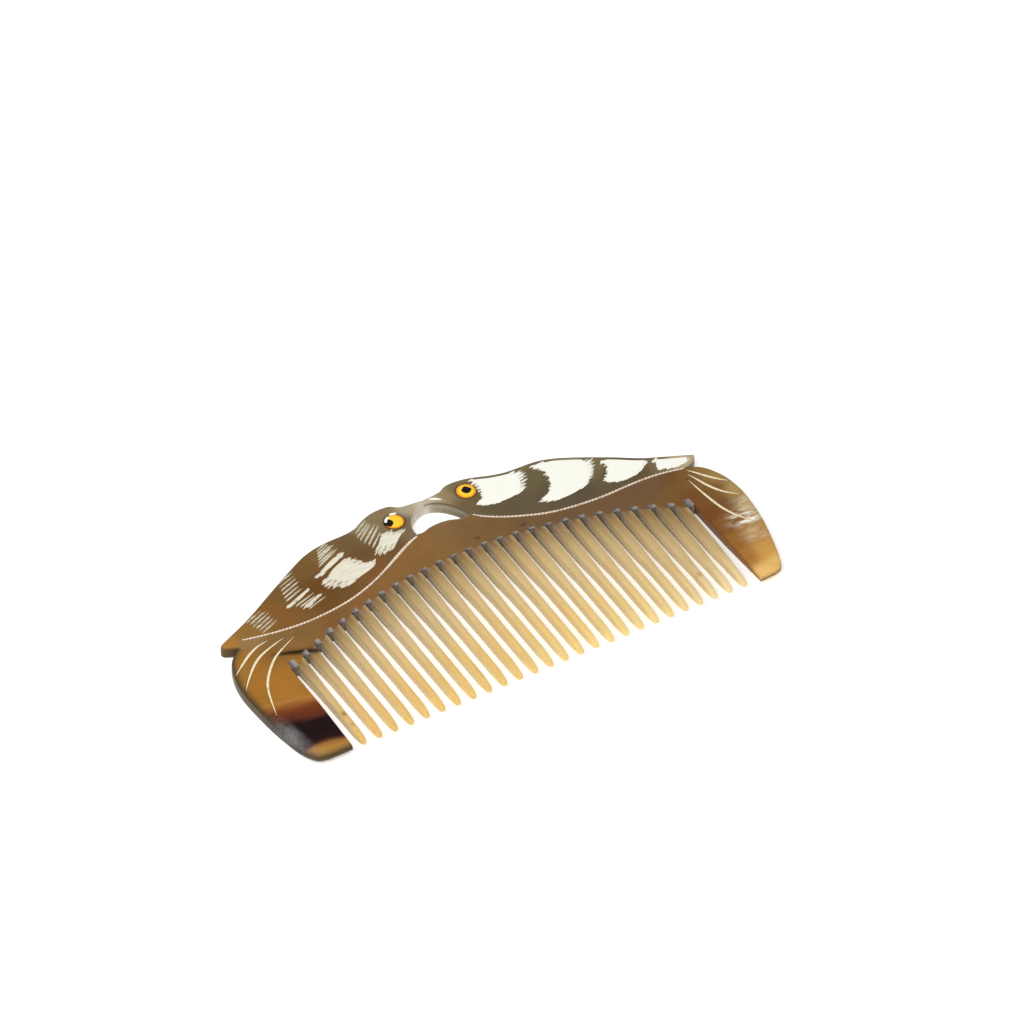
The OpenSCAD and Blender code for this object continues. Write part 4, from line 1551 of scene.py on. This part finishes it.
class SetStage(bpy.types.Operator):
    """Sets the pale floor, the soft lights and the camera"""
    bl_idname = "comb.set_stage"
    bl_label = "Set the stage"

    def execute(self, context):
        stage = context.scene.comb_stage
        self.set_floor()
        world = bpy.data.worlds.new("white surround")
        context.scene.world = world
        world.use_nodes = True
        back = world.node_tree.nodes["Background"]
        back.inputs["Color"].default_value = (1, 1, 1, 1)
        back.inputs["Strength"].default_value = stage.sky
        # Name, azimuth, elevation, distance, size and power of each soft light
        for name, azimuth, elevation, away, size, power in (
                ("key", -75, 55, 0.7, 0.5, 3.3), ("fill", 60, 45, 0.8, 0.6, 1.45)):
            self.set_light(name, azimuth, elevation, away, size, power)
        self.set_camera(stage)
        context.scene.view_settings.view_transform = "Standard"
        return {"FINISHED"}

    def set_floor(self):
        mesh = bpy.data.meshes.new("pale_floor")
        reach = 3.0
        mesh.from_pydata([(-reach, -reach, 0), (reach, -reach, 0), (reach, reach, 0),
                          (-reach, reach, 0)], [], [(0, 1, 2, 3)])
        material, nodes, shader = new_material("pale floor")
        base = nodes.mix(even_noise(nodes, 0.05, 3), (0.93, 0.93, 0.93), (0.95, 0.95, 0.95))
        nodes.fill(shader, {"Base Color": base, "Roughness": 0.9, "Specular IOR Level": 0.0,
                            "Emission Color": (1, 1, 1, 1), "Emission Strength": 0.35})
        mesh.materials.append(material)
        in_scene("pale_floor", mesh)

    def towards(self, azimuth, elevation):
        """Unit vector from the comb towards a place seen at two angles."""
        return Vector((math.sin(azimuth) * math.cos(elevation),
                       -math.cos(azimuth) * math.cos(elevation), math.sin(elevation)))

    def set_light(self, name, azimuth, elevation, away, size, power):
        light = bpy.data.lights.new(name, "AREA")
        light.shape = "DISK"
        light.size = size
        light.energy = power
        lamp = in_scene(name, light)
        way = self.towards(math.radians(azimuth), math.radians(elevation))
        lamp.location = way * away
        lamp.rotation_euler = way.to_track_quat("Z", "Y").to_euler()

    def set_camera(self, stage):
        camera = bpy.data.cameras.new("camera")
        camera.lens = stage.lens
        camera.sensor_width = 36
        camera.clip_end = 50
        eye = in_scene("camera", camera)
        # The camera looks past the comb's middle, towards its right tail
        middle = Vector((17.75, 16.25, PLATE_T)) * MM
        way = self.towards(stage.azimuth, stage.elevation)
        eye.location = middle + way * stage.field * stage.lens / camera.sensor_width
        eye.rotation_euler = way.to_track_quat("Z", "Y").to_euler()
        bpy.context.scene.camera = eye


class CombPanel(bpy.types.Panel):
    """Sidebar panel that lists the comb's steps and settings"""
    bl_idname = "VIEW3D_PT_comb"
    bl_label = "Carved horn comb"
    bl_space_type = "VIEW_3D"
    bl_region_type = "UI"
    bl_category = "Comb"

    def draw(self, context):
        for step in STEPS:
            self.layout.operator(step.bl_idname)
        for name in SETTINGS:
            box = self.layout.box()
            group = getattr(context.scene, name)
            for prop in group.bl_rna.properties:
                if prop.identifier not in ("rna_type", "name"):
                    box.prop(group, prop.identifier)


STEPS = (CarvePlates, SawTeeth, FillLines, PaintFeathers, PaintEyes, SetStage)
SETTINGS = {"comb_horn": HornSettings, "comb_teeth": ToothSettings,
            "comb_paint": PaintSettings, "comb_stage": StageSettings}


def register():
    for cls in (*SETTINGS.values(), *STEPS, CombPanel):
        bpy.utils.register_class(cls)
    for name, settings in SETTINGS.items():
        setattr(bpy.types.Scene, name, PointerProperty(type=settings))


def unregister():
    for name in SETTINGS:
        delattr(bpy.types.Scene, name)
    for cls in reversed((*SETTINGS.values(), *STEPS, CombPanel)):
        bpy.utils.unregister_class(cls)


def main():
    register()
    bpy.ops.comb.carve_plates()
    bpy.ops.comb.saw_teeth()
    bpy.ops.comb.fill_lines()
    bpy.ops.comb.paint_feathers()
    bpy.ops.comb.paint_eyes()
    bpy.ops.comb.set_stage()


if __name__ == "__main__":
    main()
